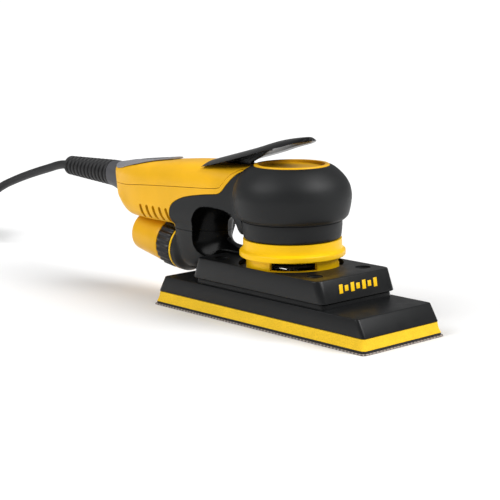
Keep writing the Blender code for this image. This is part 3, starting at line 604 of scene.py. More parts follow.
def smooth_path(points, per_span):
    """A smooth curve through a short list of points, in a plane or in space."""
    route = [Vector(p) for p in points]
    ends = [route[0] * 2 - route[1]] + route + [route[-1] * 2 - route[-2]]
    out = []
    for a, b, c, d in zip(ends, ends[1:], ends[2:], ends[3:]):
        for k in range(per_span):
            t = k / per_span
            out.append(0.5 * (2 * b + (c - a) * t + (2 * a - 5 * b + 4 * c - d) * t * t
                              + (3 * b - a - 3 * c + d) * t ** 3))
    out.append(route[-1])
    return out


def line(*points):
    """A smooth reading of a line of (x, value) points."""
    places = [p[0] for p in points]
    values = [p[1] for p in points]
    steps = [(values[k + 1] - values[k]) / (places[k + 1] - places[k])
             for k in range(len(points) - 1)]
    slopes = [steps[0]] + [(a + b) / 2 if a * b > 0 else 0.0
                           for a, b in zip(steps, steps[1:])] + [steps[-1]]

    def read(x):
        if x <= places[0]:
            return values[0] + slopes[0] * (x - places[0])
        for k in range(len(points) - 1):
            if x <= places[k + 1]:
                width = places[k + 1] - places[k]
                t = (x - places[k]) / width
                return (values[k] * (1 + 2 * t) * (1 - t) ** 2
                        + slopes[k] * width * t * (1 - t) ** 2
                        + values[k + 1] * t * t * (3 - 2 * t)
                        + slopes[k + 1] * width * t * t * (t - 1))
        return values[-1] + slopes[-1] * (x - places[-1])
    return read


def superellipse(turn, half_a, half_b, power):
    """A point of an oval: power 1 is an ellipse and a smaller power is squarer."""
    c, s = math.cos(turn), math.sin(turn)
    return (half_a * math.copysign(abs(c) ** power, c), half_b * math.copysign(abs(s) ** power, s))


FINISHES = {}                   # each finish by its slot, filled by main


def dress(item, body, slot, *nodes, angle=32.0):
    """Shade a finished piece, give it its finish and tie it to the frame."""
    if item.type == "MESH":
        activate(item)
        bpy.ops.object.shade_smooth_by_angle(angle=math.radians(angle))
    item.data.materials.clear()
    item.data.materials.append(FINISHES[slot])
    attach(item, body)
    if nodes:
        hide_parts(*nodes)
    return item


# ------------------------------------------------------------------ shared shape of the housing

SPINDLE = (1.5, 0.0, 0.0)
LEVER_PIN = (-57.0, 0.0, 94.5)
PAD_HALF = (99.0, 35.0)
BLOCK_FOOT = (62.4, 32.5, 23.9)
BLOCK_TOP = (57.3, 32.3, 37.7)
LEG_PLACES = [(x, y) for x in (-44.0, 44.0) for y in (-21.0, 21.0)]
BUTTONS = (("power_button", -164.0, 4.0), ("minus_button", -148.0, 5.4),
           ("plus_button", -133.0, 5.4))
STATUS_LIGHT_X = -120.0
BODY_REAR = -182.0
CROWN = line((-182, 86.6), (-170, 88.4), (-156, 90.4), (-140, 92.2), (-121, 94.4), (-90, 97.2),
             (-66, 98.0), (-36, 98.2), (-20, 100.2))
KEEL = line((-182, 70.0), (-166, 62.5), (-156, 57.0), (-148, 54.2), (-140, 53.6), (-97, 53.0),
            (-60, 53.0))
BEAM = line((-182, 10.0), (-171, 12.6), (-160, 17.0), (-150, 20.0), (-140, 22.0), (-124, 23.0),
            (-60, 23.0), (-40, 22.0), (-20, 20.5))
BILGE = 0.38                    # roundness of the lower half of the body
SEAM = [(-190, 75.0), (-152, 76.2), (-126, 78.4), (-90, 80.7), (-50.0, 83.2), (-43.0, 86.0),
        (-37.8, 92.0), (-31.0, 96.2), (-27.0, 97.2), (-25.0, 96.6), (-6.0, 96.6)]
REAR_SLANT = [(-210.0, 50.0), (-161.5, 50.0), (-175.2, 100.0), (-210.0, 100.0)]
GRIP_EDGE = [(-96.4, 52.0), (-97.0, 60.8), (-94.1, 67.7), (-86.1, 72.3), (-75.8, 75.3),
             (-59.1, 78.1), (-46.5, 79.6), (-42.0, 82.0), (-38.0, 86.4), (-31.4, 93.1),
             (-26.4, 96.0), (-23.6, 98.1), (-5.0, 98.1)]
OUTLET_AT = (-104.5, 0.0, 35.2)
OUTLET_TILT = math.radians(7.0)
SPLIT = 51.0                    # height of the joint between grip and duct
HEAD_FOOT = 54.6
CAP_RADIUS = 24.2
HEAD_CURVE = [(32.2, 63.0), (33.3, 66.6), (35.5, 68.3), (36.6, 70.6), (37.7, 75.7), (38.3, 80.5),
              (38.2, 83.5), (37.0, 88.6), (34.5, 93.1), (30.6, 97.4), (26.9, 100.3), (24.6, 101.2)]
FLARE = line((0, 0.0), (8, 0.35), (14, 0.88), (18, 1.0), (27, 1.05))
OPENING_POWER = 0.62


def shoulder(x):
    """Roundness of the upper half of the body: squarer towards the rear."""
    return 0.42 + 0.1 * min(1.0, max(0.0, (x + 150) / 40))


def body_top(x, y):
    """Height of the upper skin of the body at a place on it."""
    top, low = CROWN(x), KEEL(x)
    power = shoulder(x)
    fall = (1 - min(1.0, abs(y) / BEAM(x)) ** (2 / power)) ** (power / 2)
    return (top + low) / 2 + (top - low) / 2 * fall


def housing(name, inset=0.0, front=-20.0):
    """The long body: flat sides, soft shoulders and a crowned top."""
    def section(x, turn):
        top, low = CROWN(x) - inset, KEEL(x) + inset
        power = shoulder(x) if math.sin(turn) > 0 else BILGE
        y, z = superellipse(turn, BEAM(x) - inset, (top - low) / 2, power)
        return x, y, (top + low) / 2 + z
    return drawn(name, 80, 54, BODY_REAR, front, section)


def column(name):
    """The upright rear part of the grip, which turns forward below as the dust duct."""
    rear = line((24, -97), (28, -101), (36, -102.6), (51, -102.6), (62, -98), (75, -90))
    front = line((24, -70), (28, -66), (36, -62), (51, -60), (62, -50), (75, -30))
    half = line((24, 9.5), (28, 13.6), (36, 16.4), (44, 18.0), (51, 19.4), (62, 21.6), (75, 22))

    def section(z, turn):
        x, y = superellipse(turn, (front(z) - rear(z)) / 2, half(z), 0.52)
        return (rear(z) + front(z)) / 2 + x, y, z
    return drawn(name, 48, 30, 24.0, 75.0, section)


def opening_section(y):
    """Middle x and z and half sizes of the finger opening at a distance from the mid-plane."""
    grow = FLARE(abs(y))
    rear, front = -62.0 - 17.0 * grow, -30.6 + 2.0 * grow
    low, top = 43.6 - 11.0 * grow, 62.0 + 8.0 * grow
    return (rear + front) / 2, (low + top) / 2, (front - rear) / 2, (top - low) / 2


def opening(name):
    """The finger opening: a D through the grip that flares out to both sides."""
    def section(y, turn):
        middle_x, middle_z, half_x, half_z = opening_section(y)
        x, z = superellipse(turn, half_x, half_z, OPENING_POWER)
        if x < 0:
            x *= rear_lean(middle_z + z, y) / half_x + 1
        return middle_x + x, y, middle_z + z
    return drawn(name, 72, 54, -27.0, 27.0, section)


def rear_lean(z, y):
    """How far the rear wall of the opening leans: forwards, so negative, towards the top."""
    return -0.33 * max(0.0, z - 43.0) * min(1.0, abs(y) / 16)


def in_opening(point):
    """Whether a point on the skin, in millimetres, lies on the wall of the finger opening."""
    middle_x, middle_z, half_x, half_z = opening_section(point.y)
    if point.x < middle_x:
        half_x += rear_lean(point.z, point.y)
    a, b = abs(point.x - middle_x) / half_x, abs(point.z - middle_z) / half_z
    return abs(a ** (2 / OPENING_POWER) + b ** (2 / OPENING_POWER) - 1) < 0.04


def on_outlet(item):
    """Lay a turned piece down along the tilted axis of the dust outlet."""
    return settle(item, OUTLET_AT, (0.0, -math.pi / 2 + OUTLET_TILT, 0.0))


def outlet_seat():
    """The space that flange, collar and spout stand in."""
    return on_outlet(rod("outlet_seat", 26, -0.3, 60, 48))


def about_spindle(item):
    return settle(item, SPINDLE)


def pin_bore(half):
    """The lever pin's hole, through a given half width."""
    return settle(rod("pin_bore", 1.8, -half, half, 24), LEVER_PIN, (math.pi / 2, 0, 0))


def smooth_outline(points, per_span=5):
    return [(p.x, p.y) for p in smooth_path(points, per_span)]


def above(name, points, shift=0.0, top=140.0):
    """Everything above a side-view line."""
    outline = [(x, z + shift) for x, z in points]
    return prism(name, outline + [(outline[-1][0], top), (outline[0][0], top)])


def grip_side(name, clearance=0.0, low=20.0):
    """The space in front of and below the edge of the black grip."""
    outline = [(x - clearance, z + clearance) for x, z in smooth_outline(GRIP_EDGE)]
    return prism(name, outline + [(-5.0, low), (outline[0][0], low)])


def head_solid(name):
    """The round head, without its lower band's step."""
    curve = smooth_outline(HEAD_CURVE, 4)
    return about_spindle(turned(name, [(0, HEAD_FOOT), (31.3, HEAD_FOOT), (31.8, 58.0)]
                                + curve + [(0, 101.0)], 128))


def make_master():
    """One smooth skin over head, housing and column, which the mouldings are then cut from."""
    master = head_solid("housing_master")
    mouth = on_outlet(turned("duct_mouth", [(0, -12), (12.8, -12), (16.8, -4.5), (16.8, 4), (0, 4)],
                             96))
    join(master, housing("housing_core"), column("column_core"), mouth)
    step = sizes().skin_step * 1.0
    modify(master, "REMESH", mode="VOXEL", voxel_size=step, use_smooth_shade=True)
    neck_x, neck_reach, neck_low, neck_fade = -32.0, 22.0, 58.0, 8.0
    group = master.vertex_groups.new(name="junction")
    for vert in master.data.vertices:
        x, y, z = (value / MM for value in vert.co)
        near = max(0.0, 1 - abs(x - neck_x) / neck_reach)
        near *= min(1.0, max(0.0, (z - neck_low) / neck_fade))
        group.add([vert.index], min(1.0, near * 1.6), "REPLACE")
    modify(master, "SMOOTH", factor=0.5, iterations=6)
    modify(master, "SMOOTH", factor=0.6, iterations=45, vertex_group="junction")
    return master


# ------------------------------------------------------------------ operators

class SANDER_OT_stage(Operator):
    """Add the camera, the soft lights and the floor"""
    bl_idname = "sander.stage"
    bl_label = "Stage"

    def execute(self, context):
        view = context.scene.sander_stage
        back = Vector((math.cos(view.elevation) * math.sin(view.azimuth),
                       -math.cos(view.elevation) * math.cos(view.azimuth),
                       math.sin(view.elevation)))
        right = Vector((math.cos(view.azimuth), math.sin(view.azimuth), 0.0))
        up = back.cross(right)
        turned_right = right * math.cos(view.roll) + up * math.sin(view.roll)
        turned_up = back.cross(turned_right)
        deselect()
        bpy.ops.object.camera_add()
        camera = context.object
        camera.name = "view_camera"
        camera.data.lens = view.lens
        camera.data.sensor_width = 36.0
        camera.data.clip_start = 0.05
        place = Matrix((turned_right, turned_up, back)).transposed().to_4x4()
        place.translation = Vector(view.target) + back * view.distance
        camera.matrix_world = place
        context.scene.camera = camera
        self.add_lights(right, back)
        self.add_floor(context)
        return {"FINISHED"}

    def add_lights(self, right, back):
        """Two wide, distant soft lights and a dimmer sky; the backdrop itself reads as white."""
        rise = Vector((0, 0, 1))
        for name, way, spread, power in (
                ("key_light", right * 0.85 + rise * 0.9 + back * 0.35, 40.0, 2.7),
                ("fill_light", right * -0.85 + rise * 0.75 + back * 0.3, 40.0, 1.75)):
            deselect()
            bpy.ops.object.light_add(type="SUN", location=way * 2)
            light = bpy.context.object
            light.name = name
            light.data.angle = math.radians(spread)
            light.data.energy = power
            light.rotation_euler = way.to_track_quat("Z", "Y").to_euler()
        world = bpy.data.worlds.new("studio")
        bpy.context.scene.world = world
        world.use_nodes = True
        nodes, links = world.node_tree.nodes, world.node_tree.links
        sky = nodes["Background"]
        sky.inputs["Color"].default_value = (1, 1, 1, 1)
        rays = nodes.new("ShaderNodeLightPath")
        strength = nodes.new("ShaderNodeMapRange")
        strength.inputs["To Min"].default_value = SKY_LIGHT
        strength.inputs["To Max"].default_value = SKY_WHITE
        links.new(rays.outputs["Is Camera Ray"], strength.inputs["Value"])
        links.new(strength.outputs["Result"], sky.inputs["Strength"])
        bpy.context.scene.view_settings.view_transform = "Standard"

    def add_floor(self, context):
        deselect()
        bpy.ops.mesh.primitive_plane_add(size=12.0, location=(0, 0, 0))
        floor = added("studio_floor")
        finish = Finish("studio_floor", context.scene.sander_colours.floor, 0.75)
        wash = finish.noise(3.0, 2.0)
        finish.feed("Base Color", finish.mix(wash, finish.shade(0.985), finish.shade(1.02)))
        floor.data.materials.append(finish.material)


class SANDER_OT_mains_lead(Operator):
    """Add the mains lead at its full length: the free run, the stored coil and the tail"""
    bl_idname = "sander.mains_lead"
    bl_label = "Mains lead"

    coil_centre = Vector((-444.0, -20.0, 0.0))
    radii = (48.0, 41.5, 35.0, 28.5)
    layers = 4
    pitch = 6.5
    first_turn = 68.0           # where the coil begins, in degrees

    def on_coil(self, radius, degrees, height):
        """A point round the coil's middle."""
        turn = math.radians(degrees)
        return self.coil_centre + Vector((radius * math.cos(turn), radius * math.sin(turn),
                                          height))

    def lead_route(self):
        """The free run, from the bend protector down to the coil."""
        return [(-246.9, 0.0, 79.8), (-255.0, 0.0, 79.4), (-263.5, 0.0, 78.0),
                (-272.6, 0.0, 75.6), (-290.6, 0.0, 71.0), (-309.3, 0.0, 65.8), (-328.5, 0.2, 59.9),
                (-345.0, 0.8, 54.2), (-358.0, 1.8, 48.4), (-369.0, 3.4, 41.4),
                (-378.0, 5.6, 33.2), (-385.6, 8.2, 24.2), (-393.2, 11.3, 15.4),
                (-401.0, 14.4, 8.6), (-412.0, 19.2, 4.4)]

    def coil_route(self):
        """Sixteen turns in four layers, wound from outside to inside and back.

        Each turn keeps its radius at first and moves over to the next one near its end.
        """
        keeps, swell = 0.86, 2.2
        lay = self.pitch / 2
        order = []
        for layer in range(self.layers):
            ring = self.radii if layer % 2 == 0 else tuple(reversed(self.radii))
            order += [(radius, lay + self.pitch * layer) for radius in ring]
        order.append((self.radii[0], lay + self.pitch * self.layers))
        points, per_turn = [], 24
        for (radius, z), (next_radius, next_z) in zip(order, order[1:]):
            for k in range(per_turn):
                t = max(0.0, (k / per_turn - keeps) / (1 - keeps))
                ease = t * t * (3 - 2 * t)
                bulge = 0.0
                if next_z > z:  # a step up to the next layer goes round the turn below
                    bulge = swell * math.sin(math.pi * t) * (-1 if radius < 35 else 1)
                points.append(self.on_coil(radius + (next_radius - radius) * ease + bulge,
                                           self.first_turn + 360 * k / per_turn,
                                           z + (next_z - z) * ease))
        return points + [self.on_coil(self.radii[0], self.first_turn + 16 * k, 29.4)
                         for k in range(5)]

    def tail_route(self):
        """The short end that bends round over the coil and runs straight into the plug."""
        aside = Vector((-18.2, 10.5, 0.0))
        points = [self.on_coil(27.0, angle, z) + aside
                  for angle, z in ((164, 30.2), (185, 31.0), (208, 32.2), (231, 33.2),
                                   (252, 33.8), (266, 33.9))]
        return points + [points[-1] + Vector((5.0, -0.1, 0.0))]

    def execute(self, context):
        inside_guard = (-242.0, 0.0, 79.8)
        route = [Vector(p) for p in [inside_guard] + self.lead_route()]
        route += self.coil_route() + self.tail_route()
        shape = bpy.data.curves.new("mains_lead", "CURVE")
        shape.dimensions = "3D"
        shape.bevel_depth = sizes().lead_diameter / 2
        shape.bevel_resolution = 4
        shape.resolution_u = 4
        shape.use_fill_caps = True
        spline = shape.splines.new("BEZIER")
        spline.bezier_points.add(len(route) - 1)
        for knot, point in zip(spline.bezier_points, route):
            knot.co = point * MM
            knot.handle_left_type = knot.handle_right_type = "AUTO"
        lead = bpy.data.objects.new("mains_lead", shape)
        context.scene.collection.objects.link(lead)
        dress(lead, "root", "cord_black", "cord_lead", "cord_coil", "cord_tail")
        length = sum((b - a).length for a, b in zip(route, route[1:])) * MM
        return {"FINISHED"}


class SANDER_OT_grip(Operator):
    """Cut the black grip and the dust duct from the smooth skin"""
    bl_idname = "sander.grip"
    bl_label = "Grip and duct"

    def execute(self, context):
        master = make_master()
        grip = twin(master, "soft_grip")
        edge = smooth_outline(GRIP_EDGE)
        cut(grip, above("shell_side", [(-220, 40)] + [p for p in edge if p[0] < -24.0]))
        slot = housing("shell_slot", -0.3)
        boolean(slot, above("slot_part", edge), "INTERSECT")
        cut(grip, slot)
        lower_band = about_spindle(turned("lower_band", [
            (32.1, 40.0), (60.0, 40.0), (60.0, 67.1), (32.6, 67.1), (31.8, 66.6), (31.8, 66.2),
            (32.2, 65.8)], 128))
        cut(lower_band, cuboid("band_end", (-70, -70, 30), (-24.0, 70, 80)))
        cut(grip, lower_band, opening("opening_cut"), outlet_seat())
        duct = twin(grip, "dust_outlet_duct")
        half_gap = sizes().seam_gap / MM / 2
        cut(grip, cuboid("below_split", (-130, -60, 0), (-31, 60, SPLIT + half_gap)),
            about_spindle(rod("below_head", WIDE, 20, HEAD_FOOT, 96)))
        cut(grip, about_spindle(turned("motor_space", [
            (0, 50), (28, 50), (28, 88), (26.4, 92), (22.4, 96.6), (22.4, 103), (0, 103)], 64)))
        cut(grip, about_spindle(rod("cap_seat", CAP_RADIUS + 0.3, 98, 110, 128)))
        inside = housing("neck_space", sizes().wall / MM)
        boolean(inside, prism("neck_part", [
            (-94, 66), (-50, 73), (-30, 75), (-20, 80), (-20, 110), (-100, 110)]),
                "INTERSECT")
        cut(grip, inside)
        self.shade_opening(dress(grip, "root", "grip_black", "head_grip"))

        cut(duct, cuboid("above_split", (-140, -60, SPLIT - half_gap), (60, 60, 140)),
            cuboid("before_duct", (-57.0, -60, 20), (60, 60, 60)))
        join(duct, self.tongue())
        cut(duct, prism("duct_under", [(-67, 18), (-61.4, 38.2), (-20, 38.2), (-20, 18)], -50, 50),
            opening("opening_cut"),
            on_outlet(turned("mouth_bore", [(0, -7), (10, -7), (12.6, -4.5), (12.6, 2), (0, 2)],
                             64)),
            settle(rod("duct_bore", 10, 0, 16, 64), (-84, 0, 36.4), (0, -math.pi / 2, 0)),
            about_spindle(turned("ring_space", [(0, 36), (30.4, 36), (30.4, 42.8), (34.6, 43.2),
                                                (34.6, 56), (0, 56)], 96)))
        self.shade_opening(dress(duct, "root", "duct_black", "dust_duct"))
        return {"FINISHED"}

    def tongue(self):
        """The flat channel that carries dust from the ring to the foot of the column."""
        half = line((-66, 12.0), (-60, 9.0), (-52, 7.6), (-44, 7.6), (-28.8, 8.0))
        top = line((-66, 50.0), (-60, 44.6), (-52, 42.4), (-44, 41.6), (-28.8, 41.4))
        low = line((-66, 32.0), (-60, 38.2), (-52, 38.2), (-44, 38.2), (-28.8, 38.2))

        def section(x, turn):
            y, z = superellipse(turn, half(x), (top(x) - low(x)) / 2, 0.4)
            return x, y, (top(x) + low(x)) / 2 + z
        return drawn("duct_tongue", 24, 24, -66.0, -28.8, section)

    def shade_opening(self, item):
        """The wall of the finger opening gets a smoother finish, and its darker black is painted
        shade inside the opening.
        """
        item.data.materials.append(FINISHES["grip_lining"])
        for face in item.data.polygons:
            if in_opening(face.center / MM):
                face.material_index = 1


class SANDER_OT_shells(Operator):
    """Cut the yellow lower shell and top cover from the smooth skin"""
    bl_idname = "sander.shells"
    bl_label = "Housing shells"

    def execute(self, context):
        master = bpy.data.objects["housing_master"]
        gap = sizes().seam_gap / MM
        cut(master, grip_side("grip_cut", gap, 40.0), prism("rear_cut", REAR_SLANT))
        shell_part = cuboid("shell_part", (-200, -60, 52.0), (-24.0, 60, 120))
        boolean(master, join(shell_part, housing("shell_front")), "INTERSECT")
        boolean(master, housing("shell_space", sizes().wall / MM, -22.0))
        seam = smooth_outline(SEAM)
        lower = twin(master, "lower_shell")
        cut(lower, above("seam_cut", seam, -gap / 2))
        cut(lower, on_outlet(turned("hose_groove", [(0, -2), (17.4, -2), (17.4, 20.6),
                                                    (15.4, 52), (0, 52)], 96)))
        first_vent, vent_pitch = -128.3, 7.1
        for k in range(5):
            cut(lower, self.vent(first_vent + vent_pitch * k))
        dress(lower, "root", "shell_yellow", "body_lower_shell")
        cover = master
        cover.name = cover.data.name = "top_cover"
        boolean(cover, above("seam_keep", seam, gap / 2), "INTERSECT")
        r = CAP_RADIUS
        cap = about_spindle(turned("cap", [(0, 98.3), (r, 98.3)]
                                   + arc((r - 1.0, 100.9), 1.0, 0, 90, 5)
                                   + arc((r - 2.4, 101.2), 0.7, 90, 180, 4)
                                   + arc((r - 3.9, 100.5), 0.8, 0, -90, 4) + [(0, 99.6)], 128))
        join(cover, cap)
        cut(cover, cuboid("lever_slot", (-64, -2.4, 80), (-32, 2.4, 112)),
            cuboid("spring_pocket", (-61.4, -7.8, 85), (-52.6, 7.8, 97)))
        for side in (-1, 1):
            join(cover, cuboid("pin_boss", (-60.5, min(side * 8, side * 12), 91),
                               (-53.5, max(side * 8, side * 12), 97)))
        cut(cover, pin_bore(10.6))
        holes = [(x, radius - 1.5) for _, x, radius in BUTTONS] + [(STATUS_LIGHT_X, 1.3)]
        for x, radius in holes:
            cut(cover, settle(rod("button_hole", radius, 70, 110), (x, 0, 0)))
        dress(cover, "root", "shell_yellow", "body_top_cover")
        return {"FINISHED"}

    def vent(self, x):
        """A slanted slot with round ends through both sides."""
        top, low, half = Vector((x - 0.7, 63.6)), Vector((x + 1.5, 56.7)), 1.35
        lean = math.degrees(math.atan2(top.y - low.y, top.x - low.x))
        outline = arc(top, half, lean - 90, lean + 90, 6) + arc(low, half, lean + 90, lean + 270, 6)
        return prism("vent_cut", outline, -40, 40)


class SANDER_OT_pad(Operator):
    """Add the net, hooks, foam, pad plate and block"""
    bl_idname = "sander.pad"
    bl_label = "Pad stack"

    def execute(self, context):
        edge = sizes().pad_edge / MM
        low, high = (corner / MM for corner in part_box("pad_plate"))
        self.add_net()
        hooks = tapered_slab("hook_face", (*PAD_HALF, 1.2), (98.9, 34.9, 2.3), 3.0, 0.2)
        dress(hooks, "pad", "hook_fabric", "hook_layer")
        self.add_foam()

        plate = tapered_slab("pressure_plate", (97.4, 33.4, low.z), (91.3, 32.8, 20.3), 2.2, 0.6)
        plinth = tapered_slab("plinth", (61.3, 30.5, 18.0), (60.8, 30.2, high.z), 4.0, 0.35)
        join(plate, plinth)
        for x, y in LEG_PLACES:
            cut(plate, settle(rod("leg_pocket", 8.1, 11.4, 24.4), (x + SPINDLE[0], y, 0)))
        cut(plate, rod("bearing_pocket", 11.3, 13, 24.4, 48))
        dress(plate, "pad", "plate_black", "pad_plate")
        self.add_block(edge)
        return {"FINISHED"}

    def add_net(self):
        """The abrasive net: a thin strip whose cut edge is slightly ragged."""
        thick = sizes().net_thickness / MM
        net = tapered_slab("abrasive_net", (100, 36, 0.05), (99.9, 35.9, 0.05 + thick), 3.0, 0.2)
        with editing(net):
            bpy.ops.mesh.select_all(action="SELECT")
            bpy.ops.mesh.quads_convert_to_tris()
        modify(net, "REMESH", mode="VOXEL", voxel_size=0.45 * MM)
        for vert in net.data.vertices:
            x, y, z = (value / MM for value in vert.co)
            out = max(abs(x) - PAD_HALF[0], abs(y) - PAD_HALF[1])
            if out > 0:
                wobble = math.sin(x * 7.3 + y * 5.1) + math.sin(x * 3.1 - y * 9.7 + 1.0)
                push = 0.12 * wobble * min(1.0, out)
                vert.co.x += push * MM * (1 if x > 0 else -1) * (abs(x) > PAD_HALF[0])
                vert.co.y += push * MM * (1 if y > 0 else -1) * (abs(y) > PAD_HALF[1])
        dress(net, "pad", "abrasive_net", "abrasive_sheet")

    def add_foam(self):
        """Foam cushion: slanted sides drawn in slightly between its two bonded faces."""
        foam_low, foam_top = 2.5, 9.1
        foam = tapered_slab("foam_pad", (*PAD_HALF, foam_low), (97.4, 33.4, foam_top), 3.0, 0)
        with editing(foam, "EDGE"):
            pick(foam, "edges", lambda e: abs(e.verts[0].co.z - e.verts[1].co.z) > 1 * MM)
            bpy.ops.mesh.subdivide(number_cuts=5)
        sink = sizes().foam_sink / MM
        for vert in foam.data.vertices:
            x, y, z = (value / MM for value in vert.co)
            level = (z - foam_low) / (foam_top - foam_low)
            draw = sink * math.sin(math.pi * level)
            vert.co.x -= draw * MM * (1 if x > 0 else -1)
            vert.co.y -= draw * MM * (1 if y > 0 else -1)
        soften(foam, 0.25, 2, 50)
        dress(foam, "pad", "foam_yellow", "foam_cushion", angle=45)

    def add_block(self, edge):
        block = tapered_slab("drive_block", BLOCK_FOOT, BLOCK_TOP, 4.6, edge)
        hollow = tapered_slab("block_space", (59.8, 29.9, 20.0), (55.0, 29.6, 35.1), 3.4, 0)
        cut(block, hollow)
        hole = rod("ring_hole", 34, 33, 39, 160)
        boolean(hole, cuboid("hole_width", (-50, -31.5, 32), (50, 31.5, 40)), "INTERSECT")
        cut(block, hole)
        for x, y in LEG_PLACES:
            cut(block, settle(turned("access_hole", [
                (0, 33), (3.6, 33), (3.6, 36.4), (5.0, 37.1), (5.0, 39), (0, 39)], 40),
                (x, y, 0)))
        x = -54.5
        for y in (-31.9, 31.9):
            cut(block, cuboid("mould_line", (x - 0.16, y - 0.35, 26.0), (x + 0.16, y + 0.35, 36.0)))
        dress(block, "pad", "block_black", "pad_block")


class SANDER_OT_emblem(Operator):
    """Add the plain slanted bars on the front of the block"""
    bl_idname = "sander.emblem"
    bl_label = "Front bars"

    def execute(self, context):
        slope = 5.2 / (BLOCK_TOP[2] - BLOCK_FOOT[2])
        pitch, lean = 5.0, 0.22
        bars = None
        for k in range(7):
            y = (k - 3) * pitch
            height = 5.6 if k % 2 == 0 else 3.6
            outline = [(y - 1.5, -height / 2), (y + 1.5, -height / 2),
                       (y + 1.5 + height * lean, height / 2), (y - 1.5 + height * lean, height / 2)]
            bar = extruded("front_bars", [(0.0, along, up) for along, up in outline],
                           (0.35, 0, 0))
            soften(bar, 0.12, 2)
            if bars is None:
                bars = bar
            else:
                bars.select_set(True)
                bar.select_set(True)
                bpy.context.view_layer.objects.active = bars
                bpy.ops.object.join()
        height, sunk = 31.2, 0.02
        front = BLOCK_FOOT[0] - (height - BLOCK_FOOT[2]) * slope - sunk
        settle(bars, (front, 0, height), (0, -math.atan(slope), 0))
        # their slot is the foam's, and they are painted in the ring's brighter yellow
        dress(bars, "pad", "foam_yellow")
        bars.data.materials[0] = FINISHES["ring_yellow"]
        return {"FINISHED"}


class SANDER_OT_base_ring(Operator):
    """Add the yellow ring that the head stands on"""
    bl_idname = "sander.base_ring"
    bl_label = "Base ring"

    def execute(self, context):
        profile = [(27.2, 34.9)] + arc((29.5, 35.3), 0.4, -90, 0, 3)
        profile += arc((30.7, 42.4), 0.8, 180, 90, 4) + arc((33.4, 44.1), 0.8, -85, 0, 5)
        profile += arc((33.0, 46.2), 1.2, 0, 65, 5) + [(32.3, 48.2), (31.95, 49.4), (31.85, 51.0)]
        profile += [(31.8, 54.35), (28.0, 54.35), (27.2, 53.0)]
        ring = about_spindle(turned("yellow_ring", profile, 160))
        for middle in (-42.0, 64.0, 180.0):
            half = 30.0 if middle != 180.0 else 17.0
            outline = arc((1.5, 0), 24, middle - half, middle + half, 10)
            outline += arc((1.5, 0), 36, middle + half, middle - half, 10)
            cut(ring, extruded("ring_window", [(x, y, 37.6) for x, y in outline], (0, 0, 5)))
        dress(ring, "root", "ring_yellow", "base_ring")
        return {"FINISHED"}


class SANDER_OT_lever(Operator):
    """Add the crowned paddle lever with its plunger rib"""
    bl_idname = "sander.lever"
    bl_label = "Lever"

    def execute(self, context):
        crown = line((-65, 100.5), (-24, 111.0), (-3, 116.9), (15, 119.8), (19, 120.0))
        width = line((-65, 20.0), (-52, 20.6), (-30, 19.4), (-10, 16.6), (5, 14.0), (13, 10.6),
                     (17, 6.6), (19, 2.0))
        rim = line((-65, 4.5), (-50, 5.0), (-20, 5.0), (5, 4.8), (19, 2.4))
        tail, nose, thick = -65.0, 19.0, 1.7

        def place(u, v):
            x = tail + (nose - tail) * (1 - (1 - v) ** 1.5)
            half, drop, z = width(x), rim(x), crown(x)
            side, wall = 4 * u - 1, 0.0
            if u > 0.5:         # back along the underside, which meets the top at the rim
                side = (3 - 4 * u) * (1 - 1.0 / max(half, 3.0))
                wall = thick * min(1.0, (1 - abs(side)) * 5)
            return x, half * side, z - drop * abs(side) ** 2.6 - wall
        lever = skin("paddle_lever", 112, 60, place)
        rib = prism("plunger_rib", [(-61, 98.6), (-61, 92.4)] + arc((-60, 92.4), 1, 180, 265, 4)
                    + [(-37, 90.2)] + arc((-37, 91.2), 1, -80, 0, 4)
                    + [(-36, 100), (-18, 108.6), (-18, 111), (-24, 110), (-60, 100.6)], -1.5, 1.5)
        join(lever, rib)
        cut(lever, pin_bore(4.0))
        dress(lever, "lever", "lever_black", "lever", angle=38)
        return {"FINISHED"}


